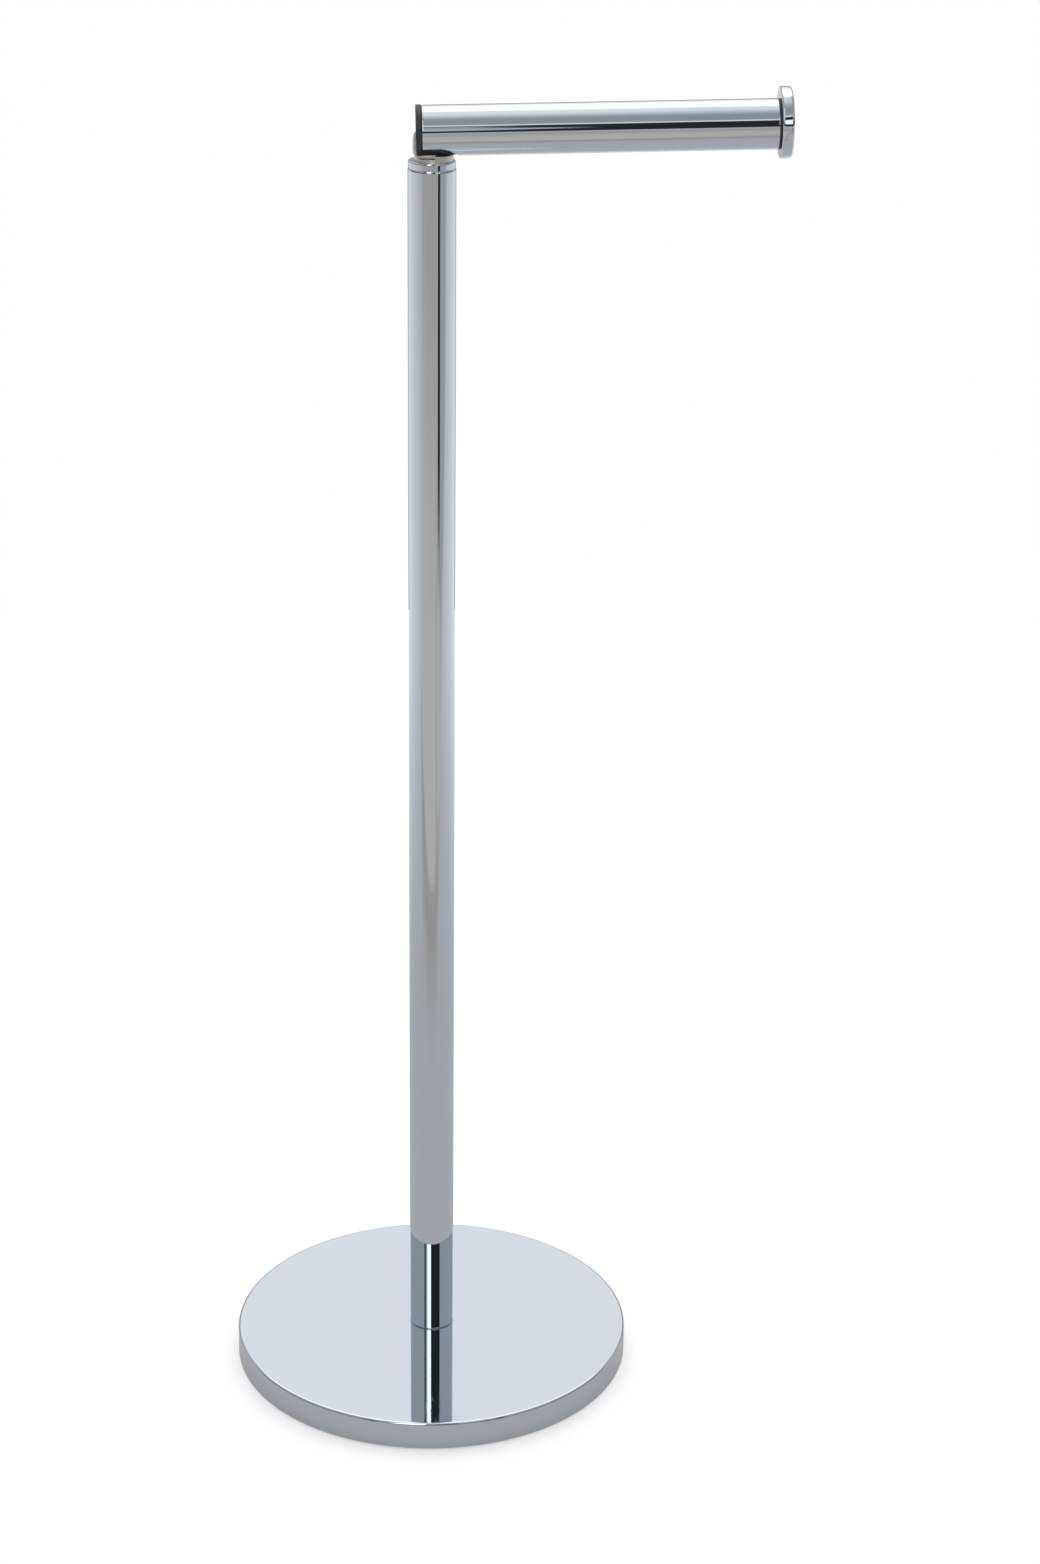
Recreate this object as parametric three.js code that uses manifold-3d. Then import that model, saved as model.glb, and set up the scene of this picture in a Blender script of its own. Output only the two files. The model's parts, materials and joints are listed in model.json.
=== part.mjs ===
// Freestanding toilet paper holder with a lifting arm.
// Millimetres, +Z up. The origin is on the floor, under the middle of the post.
// The arm points along +X and turns up about a cross pin at the head of the post.

import * as THREE from 'three';
import { mergeVertices } from 'three/addons/utils/BufferGeometryUtils.js';
import Module from 'manifold-3d';

const wasm = await Module();
wasm.setup();

// Overall sizes
const baseRadius = 100;
const baseHeight = 15;
const postRadius = 11.1;
const postTop = 613.6;
const armRadius = 11.35;
const armTubeLength = 161.1;
const armTubeStart = -4.6;
const armRestTilt = THREE.MathUtils.degToRad(1.35);

// Clearances and overruns
const fitGap = 0.12;
const looseGap = 0.3;
const cutOverrun = 2;

// Base cover, pressed from sheet
const coverSheet = 0.9;
const coverEdgeFillet = 1.6;
const coverFloorGap = 0.8;

// Base pad and base weight
const padThickness = 1.6;
const padEdgeChamfer = 0.4;
const weightTopChamfer = 1.4;
const weightBottomChamfer = 0.6;
const padSetBack = 2;

// Base fastening
const baseThreadRadius = 4;
const baseHoleClearance = 0.4;
const boltHeadAcrossFlats = 13;
const boltHeadHeight = 5.3;
const boltShankLength = 30;
const boltPointChamfer = 0.8;
const flatWasherRadius = 12;
const flatWasherThickness = 1.6;
const springWasherRadius = 7.2;
const springWasherThickness = 2;
const springWasherSplit = 1.2;
const weightPocketRadius = 14;

// Post tube and what closes it
const postWall = 1;
const bottomPlugLength = 30;
const bottomPlugSetBack = 0.3;
const plugEndChamfer = 0.8;
const capRimRadius = 10.85;
const capRimHeight = 3.4;
const capRimFillet = 0.4;
const capSpigotLength = 20;
const capWebThickness = 6;
const capPocketRadius = 5;

// Knuckle: a foot and a tongue, milled from one turned bar that stands a little towards the arm
const knuckleX = 0.85;
const knuckleRadius = 8.95;
const knuckleFootHeight = 1.5;
const knuckleFootFillet = 0.3;
const knuckleShoulderRadius = 9.59;
const knuckleShoulderHeight = 3.2;
const restLandHeight = 2.9;
const restLandStart = 1.5;
const tongueThickness = 7;
const tongueRoundRadius = 5.84;
const tongueRootFillet = 0.6;
const pinX = -2.9;
const armFootGap = 0.38;

// Knuckle fastening
const knuckleThreadRadius = 2;
const knuckleThreadClearance = 0.15;
const knuckleScrewReach = 4.6;
const knuckleHoleEnd = 0.4;
const screwHeadRadius = 3.5;
const screwHeadHeight = 2.6;
const screwHeadFillet = 0.5;
const driveRecessRadius = 1.5;
const driveRecessDepth = 1.4;
const lockWasherRadius = 3.8;
const lockWasherThickness = 1;
const lockWasherSplit = 0.7;

// Hinge insert, moulded, with its flange, slot and belly
const armWall = 1;
const insertFlangeThickness = 2.6;
const insertFlangeProud = 0.25;
const insertFlangeFillet = 0.35;
const insertBodyLength = 26;
const insertEndChamfer = 0.8;
const slotSideGap = 0.7;
const notchDepth = 4.1;
const notchFlatLength = 10.5;
const notchRampLength = 6.8;
const insertCoreRadius = 4.5;
const insertCoreDepth = 13;

// Hinge pin and washers
const pinRadius = 1.5;
const pinDropShare = 0.4;
const pinEndGap = 1.5;
const pinEndChamfer = 0.3;
const hingeWasherRadius = 4;
const hingeWasherThickness = 0.5;

// Free end of the arm
const endPlugLength = 18;
const endPlugFlange = 0.6;
const endCapRadius = 16.1;
const endCapThickness = 5.4;
const endCapRise = 0.6;
const endCapOuterFillet = 1.3;
const endCapInnerFillet = 0.8;
const endCapBoreDepth = 3.2;
const studRadius = 3;
const studInPlug = 14;
const studEndChamfer = 0.5;

// Facets
const baseFacets = 96;
const tubeFacets = 56;
const smallFacets = 24;
const filletFacets = 3;
const hexagonSides = 6;

// Sizes that follow
const postBore = postRadius - postWall;
const postPlugRadius = postBore - fitGap;
const weightTop = baseHeight - coverSheet;
const weightRadius = baseRadius - coverSheet - looseGap;
const baseHoleRadius = baseThreadRadius + baseHoleClearance;
const boltHeadBottom = padThickness + looseGap;
const boltHeadTop = boltHeadBottom + boltHeadHeight;
const springWasherTop = boltHeadTop + springWasherThickness;
const weightPocketTop = springWasherTop + flatWasherThickness;
const capTop = postTop + capRimHeight;
const knuckleFootTop = capTop + knuckleFootHeight;
const restLandTop = capTop + restLandHeight;
const armAxisZ = knuckleFootTop + armFootGap + armRadius;
const pinDropBelowArmAxis = pinDropShare * armRadius;
const pinZ = armAxisZ - pinDropBelowArmAxis;
const armBore = armRadius - armWall;
const armPlugRadius = armBore - fitGap;
const pinLength = 2 * (Math.sqrt(armPlugRadius ** 2 - pinDropBelowArmAxis ** 2) - pinEndGap);
const slotHalfWidth = tongueThickness / 2 + slotSideGap;
const slotReach = tongueRoundRadius + looseGap + fitGap;
const insertFlangeRadius = armRadius + insertFlangeProud;

// Makes one named piece of the holder
function piece(name, geometry, finish) {
  const mesh = new THREE.Mesh(geometry, new THREE.MeshStandardMaterial(finish));
  mesh.name = name;
  return mesh;
}

// Finishes
const chrome = { color: 0xc9cfd6, roughness: 0.06, metalness: 1 };
const satinZinc = { color: 0xb4b1ac, roughness: 0.28, metalness: 1 };
const zincSteel = { color: 0x9fa3a6, roughness: 0.4, metalness: 1 };
const castIron = { color: 0x3c3d3f, roughness: 0.75, metalness: 0.6 };
const blackNylon = { color: 0x2b2c2f, roughness: 0.45, metalness: 0 };
const blackRubber = { color: 0x1d1d1e, roughness: 0.9, metalness: 0 };

// A quarter round in a profile, from one angle to another about a centre
function quarterRound(centreR, centreZ, radius, fromDegrees, toDegrees) {
  const points = [];
  for (let step = 0; step <= filletFacets; step += 1) {
    const share = step / filletFacets;
    const angle = THREE.MathUtils.degToRad(fromDegrees + (toDegrees - fromDegrees) * share);
    points.push([centreR + radius * Math.cos(angle), centreZ + radius * Math.sin(angle)]);
  }
  return points;
}

// A body of revolution about Z, from [radius, height] points that run anticlockwise
function turned(profile, facets) {
  const points = profile.map(([radius, height]) => new THREE.Vector2(radius, height));
  const geometry = new THREE.LatheGeometry(points, facets);
  geometry.rotateX(Math.PI / 2);
  return geometry;
}

// A ring profile that closes on itself
function ring(innerRadius, outerRadius, bottom, top) {
  return [
    [innerRadius, bottom],
    [outerRadius, bottom],
    [outerRadius, top],
    [innerRadius, top],
    [innerRadius, bottom],
  ];
}

// A rod profile with a chamfer at each end
function rod(radius, bottom, top, bottomChamfer, topChamfer) {
  return [
    [0, bottom],
    [radius - bottomChamfer, bottom],
    [radius, bottom + bottomChamfer],
    [radius, top - topChamfer],
    [radius - topChamfer, top],
    [0, top],
  ];
}

// Turns a body from the Z axis to the X axis, so that its height runs along the arm
function alongArm(geometry) {
  geometry.rotateY(Math.PI / 2);
  return geometry;
}

// Turns a body from the Z axis to the Y axis, so that it crosses the arm
function acrossArm(geometry) {
  geometry.rotateX(-Math.PI / 2);
  return geometry;
}

// A plate with its outline in X and Z, centred on Y
function crossPlate(shape, width) {
  const geometry = new THREE.ExtrudeGeometry(shape, {
    depth: width,
    bevelEnabled: false,
    curveSegments: smallFacets / 2,
  });
  geometry.translate(0, 0, -width / 2);
  geometry.rotateX(Math.PI / 2);
  return geometry;
}

// A straight-sided outline from a list of [x, z] points
function outline(points) {
  return new THREE.Shape(points.map(([x, z]) => new THREE.Vector2(x, z)));
}

// A solid that can be cut and joined
function solid(geometry) {
  const bare = geometry.clone();
  bare.deleteAttribute('normal');
  bare.deleteAttribute('uv');
  const merged = mergeVertices(bare);
  const corners = [];
  for (let i = 0; i < merged.index.count; i += 3) {
    const a = merged.index.getX(i);
    const b = merged.index.getX(i + 1);
    const c = merged.index.getX(i + 2);
    if (a !== b && b !== c && c !== a) {
      corners.push(a, b, c);
    }
  }
  return new wasm.Manifold(new wasm.Mesh({
    numProp: 3,
    vertProperties: new Float32Array(merged.attributes.position.array),
    triVerts: new Uint32Array(corners),
  }));
}

// The geometry of a solid after its cuts
function shaped(body) {
  const mesh = body.getMesh();
  const geometry = new THREE.BufferGeometry();
  geometry.setAttribute('position', new THREE.BufferAttribute(mesh.vertProperties, 3));
  geometry.setIndex(new THREE.BufferAttribute(mesh.triVerts, 1));
  geometry.computeVertexNormals();
  return geometry;
}

// Anti-slip pad under the base
function basePad() {
  const radius = weightRadius - padSetBack;
  const profile = [
    [0, 0],
    [radius - padEdgeChamfer, 0],
    [radius, padEdgeChamfer],
    [radius, padThickness],
    [0, padThickness],
  ];
  return piece('base_pad', turned(profile, baseFacets), blackRubber);
}

// Cast weight inside the cover, with a pocket for the bolt head
function baseWeight() {
  const profile = [
    [weightPocketRadius, padThickness],
    [weightRadius - weightBottomChamfer, padThickness],
    [weightRadius, padThickness + weightBottomChamfer],
    [weightRadius, weightTop - weightTopChamfer],
    [weightRadius - weightTopChamfer, weightTop],
    [baseHoleRadius, weightTop],
    [baseHoleRadius, weightPocketTop],
    [weightPocketRadius, weightPocketTop],
    [weightPocketRadius, padThickness],
  ];
  return piece('base_weight', turned(profile, baseFacets), castIron);
}

// Polished cover, a shallow dish over the weight
function baseCover() {
  const outerCentreR = baseRadius - coverEdgeFillet;
  const outerCentreZ = baseHeight - coverEdgeFillet;
  const innerFillet = coverEdgeFillet - coverSheet;
  const profile = [
    [baseRadius - coverSheet, coverFloorGap],
    [baseRadius, coverFloorGap],
    ...quarterRound(outerCentreR, outerCentreZ, coverEdgeFillet, 0, 90),
    [baseHoleRadius, baseHeight],
    [baseHoleRadius, weightTop],
    ...quarterRound(outerCentreR, outerCentreZ, innerFillet, 90, 0),
    [baseRadius - coverSheet, coverFloorGap],
  ];
  return piece('base_cover', turned(profile, baseFacets), chrome);
}

// Hexagon bolt from under the weight up into the post
function baseBolt() {
  const cornerRadius = boltHeadAcrossFlats / 2 / Math.cos(Math.PI / hexagonSides);
  const head = new THREE.CylinderGeometry(cornerRadius, cornerRadius, boltHeadHeight, hexagonSides);
  head.rotateX(Math.PI / 2);
  head.translate(0, 0, boltHeadBottom + boltHeadHeight / 2);
  const faceRadius = boltHeadAcrossFlats / 2;
  const chamferRise = (cornerRadius - faceRadius) / 2;
  const chamferCone = turned([
    [0, boltHeadBottom],
    [faceRadius, boltHeadBottom],
    [cornerRadius, boltHeadBottom + chamferRise],
    [cornerRadius, boltHeadTop],
    [0, boltHeadTop],
  ], smallFacets);
  const shank = turned(rod(
    baseThreadRadius,
    boltHeadTop - fitGap,
    boltHeadTop + boltShankLength,
    0,
    boltPointChamfer,
  ), smallFacets);
  const body = solid(head).intersect(solid(chamferCone)).add(solid(shank));
  return piece('base_bolt', shaped(body), zincSteel);
}

// A washer with a gap across one side, or whole where the gap is zero
function washer(name, innerRadius, outerRadius, bottom, top, split, finish) {
  const body = solid(turned(ring(innerRadius, outerRadius, bottom, top), smallFacets));
  if (split === 0) {
    return piece(name, shaped(body), finish);
  }
  const cutter = new THREE.BoxGeometry(outerRadius + cutOverrun, split, top - bottom + cutOverrun);
  cutter.translate((outerRadius + cutOverrun) / 2, 0, (bottom + top) / 2);
  return piece(name, shaped(body.subtract(solid(cutter))), finish);
}

// Post tube, from the top of the base to the cap
function postTube() {
  const profile = ring(postBore, postRadius, baseHeight, postTop);
  return piece('post_tube', turned(profile, tubeFacets), chrome);
}

// Threaded plug in the foot of the post
function postBottomPlug() {
  const bottom = baseHeight + bottomPlugSetBack;
  const top = bottom + bottomPlugLength;
  const threadRadius = baseThreadRadius + fitGap;
  const profile = [
    [threadRadius, bottom],
    [postPlugRadius - plugEndChamfer, bottom],
    [postPlugRadius, bottom + plugEndChamfer],
    [postPlugRadius, top - plugEndChamfer],
    [postPlugRadius - plugEndChamfer, top],
    [threadRadius, top],
    [threadRadius, bottom],
  ];
  return piece('post_bottom_plug', turned(profile, tubeFacets), zincSteel);
}

// Cap pressed into the head of the post, with a rim that shows
function postTopCap() {
  const spigotBottom = postTop - capSpigotLength;
  const pocketTop = capTop - capWebThickness;
  const holeRadius = knuckleThreadRadius + looseGap;
  const profile = [
    [capPocketRadius, spigotBottom],
    [postPlugRadius - plugEndChamfer, spigotBottom],
    [postPlugRadius, spigotBottom + plugEndChamfer],
    [postPlugRadius, postTop],
    [capRimRadius, postTop],
    ...quarterRound(capRimRadius - capRimFillet, capTop - capRimFillet, capRimFillet, 0, 90),
    [holeRadius, capTop],
    [holeRadius, pocketTop],
    [capPocketRadius, pocketTop],
    [capPocketRadius, spigotBottom],
  ];
  return piece('post_top_cap', turned(profile, tubeFacets), chrome);
}

// Side outline of the tongue: two flanks, a round head about the pin and a flared right root
function tongueOutline() {
  const rightRoot = pinX + tongueRoundRadius + tongueRootFillet;
  const shape = new THREE.Shape();
  shape.moveTo(pinX - tongueRoundRadius, capTop);
  shape.lineTo(rightRoot, capTop);
  shape.lineTo(rightRoot, restLandTop);
  shape.absarc(
    rightRoot,
    restLandTop + tongueRootFillet,
    tongueRootFillet,
    -Math.PI / 2,
    -Math.PI,
    true,
  );
  shape.absarc(pinX, pinZ, tongueRoundRadius, 0, Math.PI, false);
  return shape;
}

// Profile of the turned foot, or of the higher land that the arm comes down on
function footProfile(top) {
  return [
    [0, capTop],
    [knuckleRadius, capTop],
    ...quarterRound(
      knuckleRadius - knuckleFootFillet,
      top - knuckleFootFillet,
      knuckleFootFillet,
      0,
      90,
    ),
    [0, top],
  ];
}

// Knuckle on top of the cap: a foot with a rest land, and a tongue cut from the same bar
function knuckle() {
  const tongueTop = pinZ + tongueRoundRadius;
  const shoulderStart = capTop + knuckleShoulderHeight - (knuckleShoulderRadius - knuckleRadius);
  const bar = turned([
    [0, capTop],
    [knuckleRadius, capTop],
    [knuckleRadius, shoulderStart],
    [knuckleShoulderRadius, capTop + knuckleShoulderHeight],
    [knuckleShoulderRadius, tongueTop + cutOverrun],
    [0, tongueTop + cutOverrun],
  ], tubeFacets);
  const foot = turned(footProfile(knuckleFootTop), tubeFacets);
  const land = turned(footProfile(restLandTop), tubeFacets);
  for (const body of [bar, foot, land]) {
    body.translate(knuckleX, 0, 0);
  }
  const landSide = new THREE.BoxGeometry(
    knuckleRadius * 2,
    knuckleRadius * 2 + cutOverrun,
    restLandHeight + cutOverrun,
  );
  landSide.translate(
    restLandStart + knuckleRadius,
    0,
    restLandTop + cutOverrun - (restLandHeight + cutOverrun) / 2,
  );
  const pinBore = acrossArm(turned(rod(
    pinRadius + fitGap,
    -tongueThickness,
    tongueThickness,
    0,
    0,
  ), smallFacets));
  pinBore.translate(pinX, 0, pinZ);
  const screwHole = turned(rod(
    knuckleThreadRadius + knuckleThreadClearance,
    capTop - cutOverrun,
    capTop + knuckleScrewReach + knuckleHoleEnd,
    0,
    0,
  ), smallFacets);
  const body = solid(crossPlate(tongueOutline(), tongueThickness))
    .intersect(solid(bar))
    .add(solid(land).intersect(solid(landSide)))
    .add(solid(foot))
    .subtract(solid(pinBore))
    .subtract(solid(screwHole));
  return piece('knuckle', shaped(body), satinZinc);
}

// Screw from inside the cap up into the knuckle
function knuckleScrew() {
  const headTop = capTop - capWebThickness - lockWasherThickness;
  const headBottom = headTop - screwHeadHeight;
  const blank = turned([
    [0, headBottom],
    [screwHeadRadius - screwHeadFillet, headBottom],
    ...quarterRound(
      screwHeadRadius - screwHeadFillet,
      headBottom + screwHeadFillet,
      screwHeadFillet,
      -90,
      0,
    ),
    [screwHeadRadius, headTop],
    [knuckleThreadRadius, headTop],
    [knuckleThreadRadius, capTop + knuckleScrewReach],
    [0, capTop + knuckleScrewReach],
  ], smallFacets);
  const recess = new THREE.CylinderGeometry(
    driveRecessRadius,
    driveRecessRadius,
    driveRecessDepth + cutOverrun,
    hexagonSides,
  );
  recess.rotateX(Math.PI / 2);
  recess.translate(0, 0, headBottom + driveRecessDepth - (driveRecessDepth + cutOverrun) / 2);
  return piece('knuckle_screw', shaped(solid(blank).subtract(solid(recess))), zincSteel);
}

// The notch under the arm's hinge end, as a side outline about the pin, drawn in by a gap
function notchOutline(gap, start) {
  const floor = pinDropBelowArmAxis - armRadius;
  const roof = floor + notchDepth - gap;
  const flatEnd = armTubeStart - pinX + notchFlatLength;
  const rampSlope = notchRampLength / notchDepth;
  const below = floor - cutOverrun;
  return outline([
    [start, below],
    [flatEnd + notchRampLength + cutOverrun * rampSlope - gap, below],
    [flatEnd - gap, roof],
    [start, roof],
  ]);
}

// A point of the stand's side view as the tilted arm sees it, about the pin
function seenFromArm(x, z) {
  const reach = x - pinX;
  const rise = z - pinZ;
  return [
    reach * Math.cos(armRestTilt) + rise * Math.sin(armRestTilt),
    rise * Math.cos(armRestTilt) - reach * Math.sin(armRestTilt),
  ];
}

// A round about the pin that swings clear of the knuckle's foot and of its rest land
function swingRound() {
  const swingRadius = pinZ - knuckleFootTop - looseGap;
  return solid(acrossArm(turned(rod(
    swingRadius,
    -armRadius - cutOverrun,
    armRadius + cutOverrun,
    0,
    0,
  ), tubeFacets)));
}

// What has to go from under the insert, outside the swing round, so that it comes down level on
// the knuckle's rest land
function restCut() {
  const start = armTubeStart + looseGap;
  const end = armTubeStart + notchFlatLength + notchRampLength;
  const plane = restLandTop + looseGap;
  return solid(crossPlate(outline([
    seenFromArm(start, plane - armRadius / 2),
    seenFromArm(end, plane - armRadius / 2),
    seenFromArm(end, plane),
    seenFromArm(start, plane),
  ]), armRadius * 2)).subtract(swingRound());
}

// Moulded hinge insert: body in the tube, end flange, belly in the notch, slot for the tongue
function hingeInsert() {
  const tubeStart = armTubeStart - pinX;
  const flangeStart = tubeStart - insertFlangeThickness;
  const bodyEnd = tubeStart + insertBodyLength;
  const flangeAndBody = alongArm(turned([
    [0, flangeStart],
    [insertFlangeRadius - insertFlangeFillet, flangeStart],
    ...quarterRound(
      insertFlangeRadius - insertFlangeFillet,
      flangeStart + insertFlangeFillet,
      insertFlangeFillet,
      -90,
      0,
    ),
    [insertFlangeRadius, tubeStart],
    [armPlugRadius, tubeStart],
    [armPlugRadius, bodyEnd - insertEndChamfer],
    [armPlugRadius - insertEndChamfer, bodyEnd],
    [insertCoreRadius, bodyEnd],
    [insertCoreRadius, bodyEnd - insertCoreDepth],
    [0, bodyEnd - insertCoreDepth],
  ], tubeFacets));
  flangeAndBody.translate(0, 0, pinDropBelowArmAxis);
  const bellyRound = alongArm(turned(
    rod(armRadius, tubeStart - fitGap, bodyEnd - insertEndChamfer, 0, 0),
    tubeFacets,
  ));
  bellyRound.translate(0, 0, pinDropBelowArmAxis);
  const bellyBlock = crossPlate(notchOutline(looseGap, tubeStart - fitGap), armRadius * 2);
  const slot = new THREE.BoxGeometry(
    slotReach - flangeStart + cutOverrun,
    slotHalfWidth * 2,
    slotReach + armRadius + cutOverrun,
  );
  slot.translate(
    slotReach - (slotReach - flangeStart + cutOverrun) / 2,
    0,
    slotReach - (slotReach + armRadius + cutOverrun) / 2,
  );
  const pinBore = acrossArm(turned(
    rod(pinRadius + fitGap, -armRadius, armRadius, 0, 0),
    smallFacets,
  ));
  const body = solid(flangeAndBody)
    .add(solid(bellyRound).intersect(solid(bellyBlock)))
    .subtract(restCut())
    .subtract(solid(slot))
    .subtract(solid(pinBore))
    .subtract(liftRelief(flangeStart));
  return piece('hinge_insert', shaped(body), blackNylon);
}

// What has to go from the flange's lower corner so that it swings clear of the knuckle's foot
function liftRelief(flangeStart) {
  const corner = flangeStart - cutOverrun;
  const block = crossPlate(outline([
    [corner, -armRadius],
    [0, -armRadius],
    [0, 0],
    [corner, 0],
  ]), armRadius * 2);
  return solid(block).subtract(swingRound());
}

// Cross pin of the hinge
function hingePin() {
  const profile = rod(pinRadius, -pinLength / 2, pinLength / 2, pinEndChamfer, pinEndChamfer);
  return piece('hinge_pin', acrossArm(turned(profile, smallFacets)), zincSteel);
}

// Thin washer between the tongue and one cheek of the insert
function hingeWasher(name, side) {
  const middle = side * (tongueThickness / 2 + slotSideGap / 2);
  const profile = ring(
    pinRadius + fitGap,
    hingeWasherRadius,
    middle - hingeWasherThickness / 2,
    middle + hingeWasherThickness / 2,
  );
  return piece(name, acrossArm(turned(profile, smallFacets)), blackNylon);
}

// Arm tube, notched below at the hinge end
function armTube() {
  const start = armTubeStart - pinX;
  const tube = alongArm(turned(ring(armBore, armRadius, start, start + armTubeLength), tubeFacets));
  tube.translate(0, 0, pinDropBelowArmAxis);
  const notch = crossPlate(notchOutline(0, start - cutOverrun), armRadius * 2 + cutOverrun);
  return piece('arm_tube', shaped(solid(tube).subtract(solid(notch))), chrome);
}

// Plug in the free end of the arm, whose thin flange shows as a dark ring
function endPlug() {
  const end = armTubeStart - pinX + armTubeLength;
  const start = end - endPlugLength;
  const bore = studRadius + fitGap;
  const geometry = alongArm(turned([
    [bore, start],
    [armPlugRadius - insertEndChamfer, start],
    [armPlugRadius, start + insertEndChamfer],
    [armPlugRadius, end],
    [armRadius, end],
    [armRadius, end + endPlugFlange],
    [bore, end + endPlugFlange],
    [bore, start],
  ], tubeFacets));
  geometry.translate(0, 0, pinDropBelowArmAxis);
  return piece('end_plug', geometry, blackNylon);
}

// Polished disc that keeps the roll on the arm, set a little above the tube's middle
function endCap() {
  const start = armTubeStart - pinX + armTubeLength + endPlugFlange;
  const end = start + endCapThickness;
  const disc = alongArm(turned([
    [0, start],
    ...quarterRound(
      endCapRadius - endCapInnerFillet,
      start + endCapInnerFillet,
      endCapInnerFillet,
      -90,
      0,
    ),
    ...quarterRound(
      endCapRadius - endCapOuterFillet,
      end - endCapOuterFillet,
      endCapOuterFillet,
      0,
      90,
    ),
    [0, end],
  ], tubeFacets));
  disc.translate(0, 0, pinDropBelowArmAxis + endCapRise);
  const bore = alongArm(turned(
    rod(studRadius + fitGap, start - cutOverrun, start + endCapBoreDepth, 0, 0),
    smallFacets,
  ));
  bore.translate(0, 0, pinDropBelowArmAxis);
  return piece('end_cap', shaped(solid(disc).subtract(solid(bore))), chrome);
}

// Threaded stud that holds the disc to the plug
function endCapStud() {
  const seam = armTubeStart - pinX + armTubeLength + endPlugFlange;
  const geometry = alongArm(turned(rod(
    studRadius,
    seam - studInPlug,
    seam + endCapBoreDepth - fitGap,
    studEndChamfer,
    studEndChamfer,
  ), smallFacets));
  geometry.translate(0, 0, pinDropBelowArmAxis);
  return piece('end_cap_stud', geometry, zincSteel);
}

// Base
const base = new THREE.Group();
base.add(basePad());
base.add(baseWeight());
base.add(baseCover());
base.add(baseBolt());
base.add(washer(
  'base_spring_washer',
  baseHoleRadius,
  springWasherRadius,
  boltHeadTop,
  springWasherTop,
  springWasherSplit,
  zincSteel,
));
base.add(washer(
  'base_flat_washer',
  baseHoleRadius,
  flatWasherRadius,
  springWasherTop,
  weightPocketTop,
  0,
  zincSteel,
));

// Post and the knuckle on its head
const post = new THREE.Group();
post.add(postBottomPlug());
post.add(postTube());
post.add(postTopCap());
post.add(washer(
  'knuckle_lock_washer',
  knuckleThreadRadius + looseGap,
  lockWasherRadius,
  capTop - capWebThickness - lockWasherThickness,
  capTop - capWebThickness,
  lockWasherSplit,
  zincSteel,
));
post.add(knuckleScrew());
post.add(knuckle());

// Arm, drawn about its pin and tilted to its rest
const arm = new THREE.Group();
arm.position.set(pinX, 0, pinZ);
arm.rotation.y = -armRestTilt;
arm.add(hingePin());
arm.add(hingeWasher('hinge_washer_front', -1));
arm.add(hingeWasher('hinge_washer_back', 1));
arm.add(hingeInsert());
arm.add(armTube());
arm.add(endPlug());
arm.add(endCapStud());
arm.add(endCap());

const holder = new THREE.Group();
holder.add(base);
holder.add(post);
holder.add(arm);

export default holder;
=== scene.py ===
"""Looks of the freestanding toilet paper holder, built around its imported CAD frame.

Metres, +Z up. The origin is on the floor under the post, and the arm points along +X.
"""

import json
import math

import bmesh
import bpy
from bpy.props import FloatProperty, FloatVectorProperty, IntProperty, PointerProperty
from mathutils import Matrix, Vector


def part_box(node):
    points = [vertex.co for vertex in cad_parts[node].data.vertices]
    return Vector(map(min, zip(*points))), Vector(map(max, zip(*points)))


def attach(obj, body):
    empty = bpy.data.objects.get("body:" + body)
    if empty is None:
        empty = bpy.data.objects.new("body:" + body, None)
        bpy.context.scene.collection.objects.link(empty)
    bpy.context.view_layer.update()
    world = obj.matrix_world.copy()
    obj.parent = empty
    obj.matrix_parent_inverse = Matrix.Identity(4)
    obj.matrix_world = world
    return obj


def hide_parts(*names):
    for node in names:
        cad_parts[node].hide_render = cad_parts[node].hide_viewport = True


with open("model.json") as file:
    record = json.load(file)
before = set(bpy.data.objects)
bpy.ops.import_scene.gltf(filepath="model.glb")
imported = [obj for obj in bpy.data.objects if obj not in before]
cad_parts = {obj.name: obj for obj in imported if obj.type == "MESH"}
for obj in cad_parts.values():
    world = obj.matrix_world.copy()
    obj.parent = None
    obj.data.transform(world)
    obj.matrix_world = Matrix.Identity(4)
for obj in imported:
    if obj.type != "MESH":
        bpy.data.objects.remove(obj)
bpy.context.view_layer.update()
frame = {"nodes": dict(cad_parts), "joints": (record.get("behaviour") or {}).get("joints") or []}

bl_info = {
    "name": "Freestanding Toilet Paper Holder",
    "version": (1, 0, 0),
    "blender": (4, 5, 0),
    "location": "3D View > Sidebar > Paper Holder",
    "description": "Builds the polished stand, its lifting arm and the studio around the CAD frame",
    "category": "Object",
}

MM = 0.001
PHOTO_HEIGHT = 1564
SENSOR = 36.0


# Sizes read from the frame

cover_low, cover_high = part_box("base_cover")
pad_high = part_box("base_pad")[1]
post_low, post_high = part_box("post_tube")
cap_low, cap_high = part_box("post_top_cap")
knuckle_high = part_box("knuckle")[1]
pin_point = Vector(frame["joints"][0]["pos_m"])


# Settings

def length(name, description, default):
    """A size in metres, shown as a length."""
    return FloatProperty(name=name, description=description, default=default, unit="LENGTH",
                         precision=5)


def mm(name, description, default):
    """A length whose default is given in millimetres."""
    return length(name, description, default * MM)


def degrees(name, description, default):
    """An angle, given in degrees."""
    return FloatProperty(name=name, description=description, default=math.radians(default),
                         subtype="ANGLE")


def colour(name, description, default):
    """A linear colour without alpha."""
    return FloatVectorProperty(name=name, description=description, default=default,
                               subtype="COLOR", size=3, min=0.0, max=1.0)


def share(name, description, default, top=1.0):
    """A plain factor from nought."""
    return FloatProperty(name=name, description=description, default=default, min=0.0, max=top,
                         precision=4)


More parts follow.
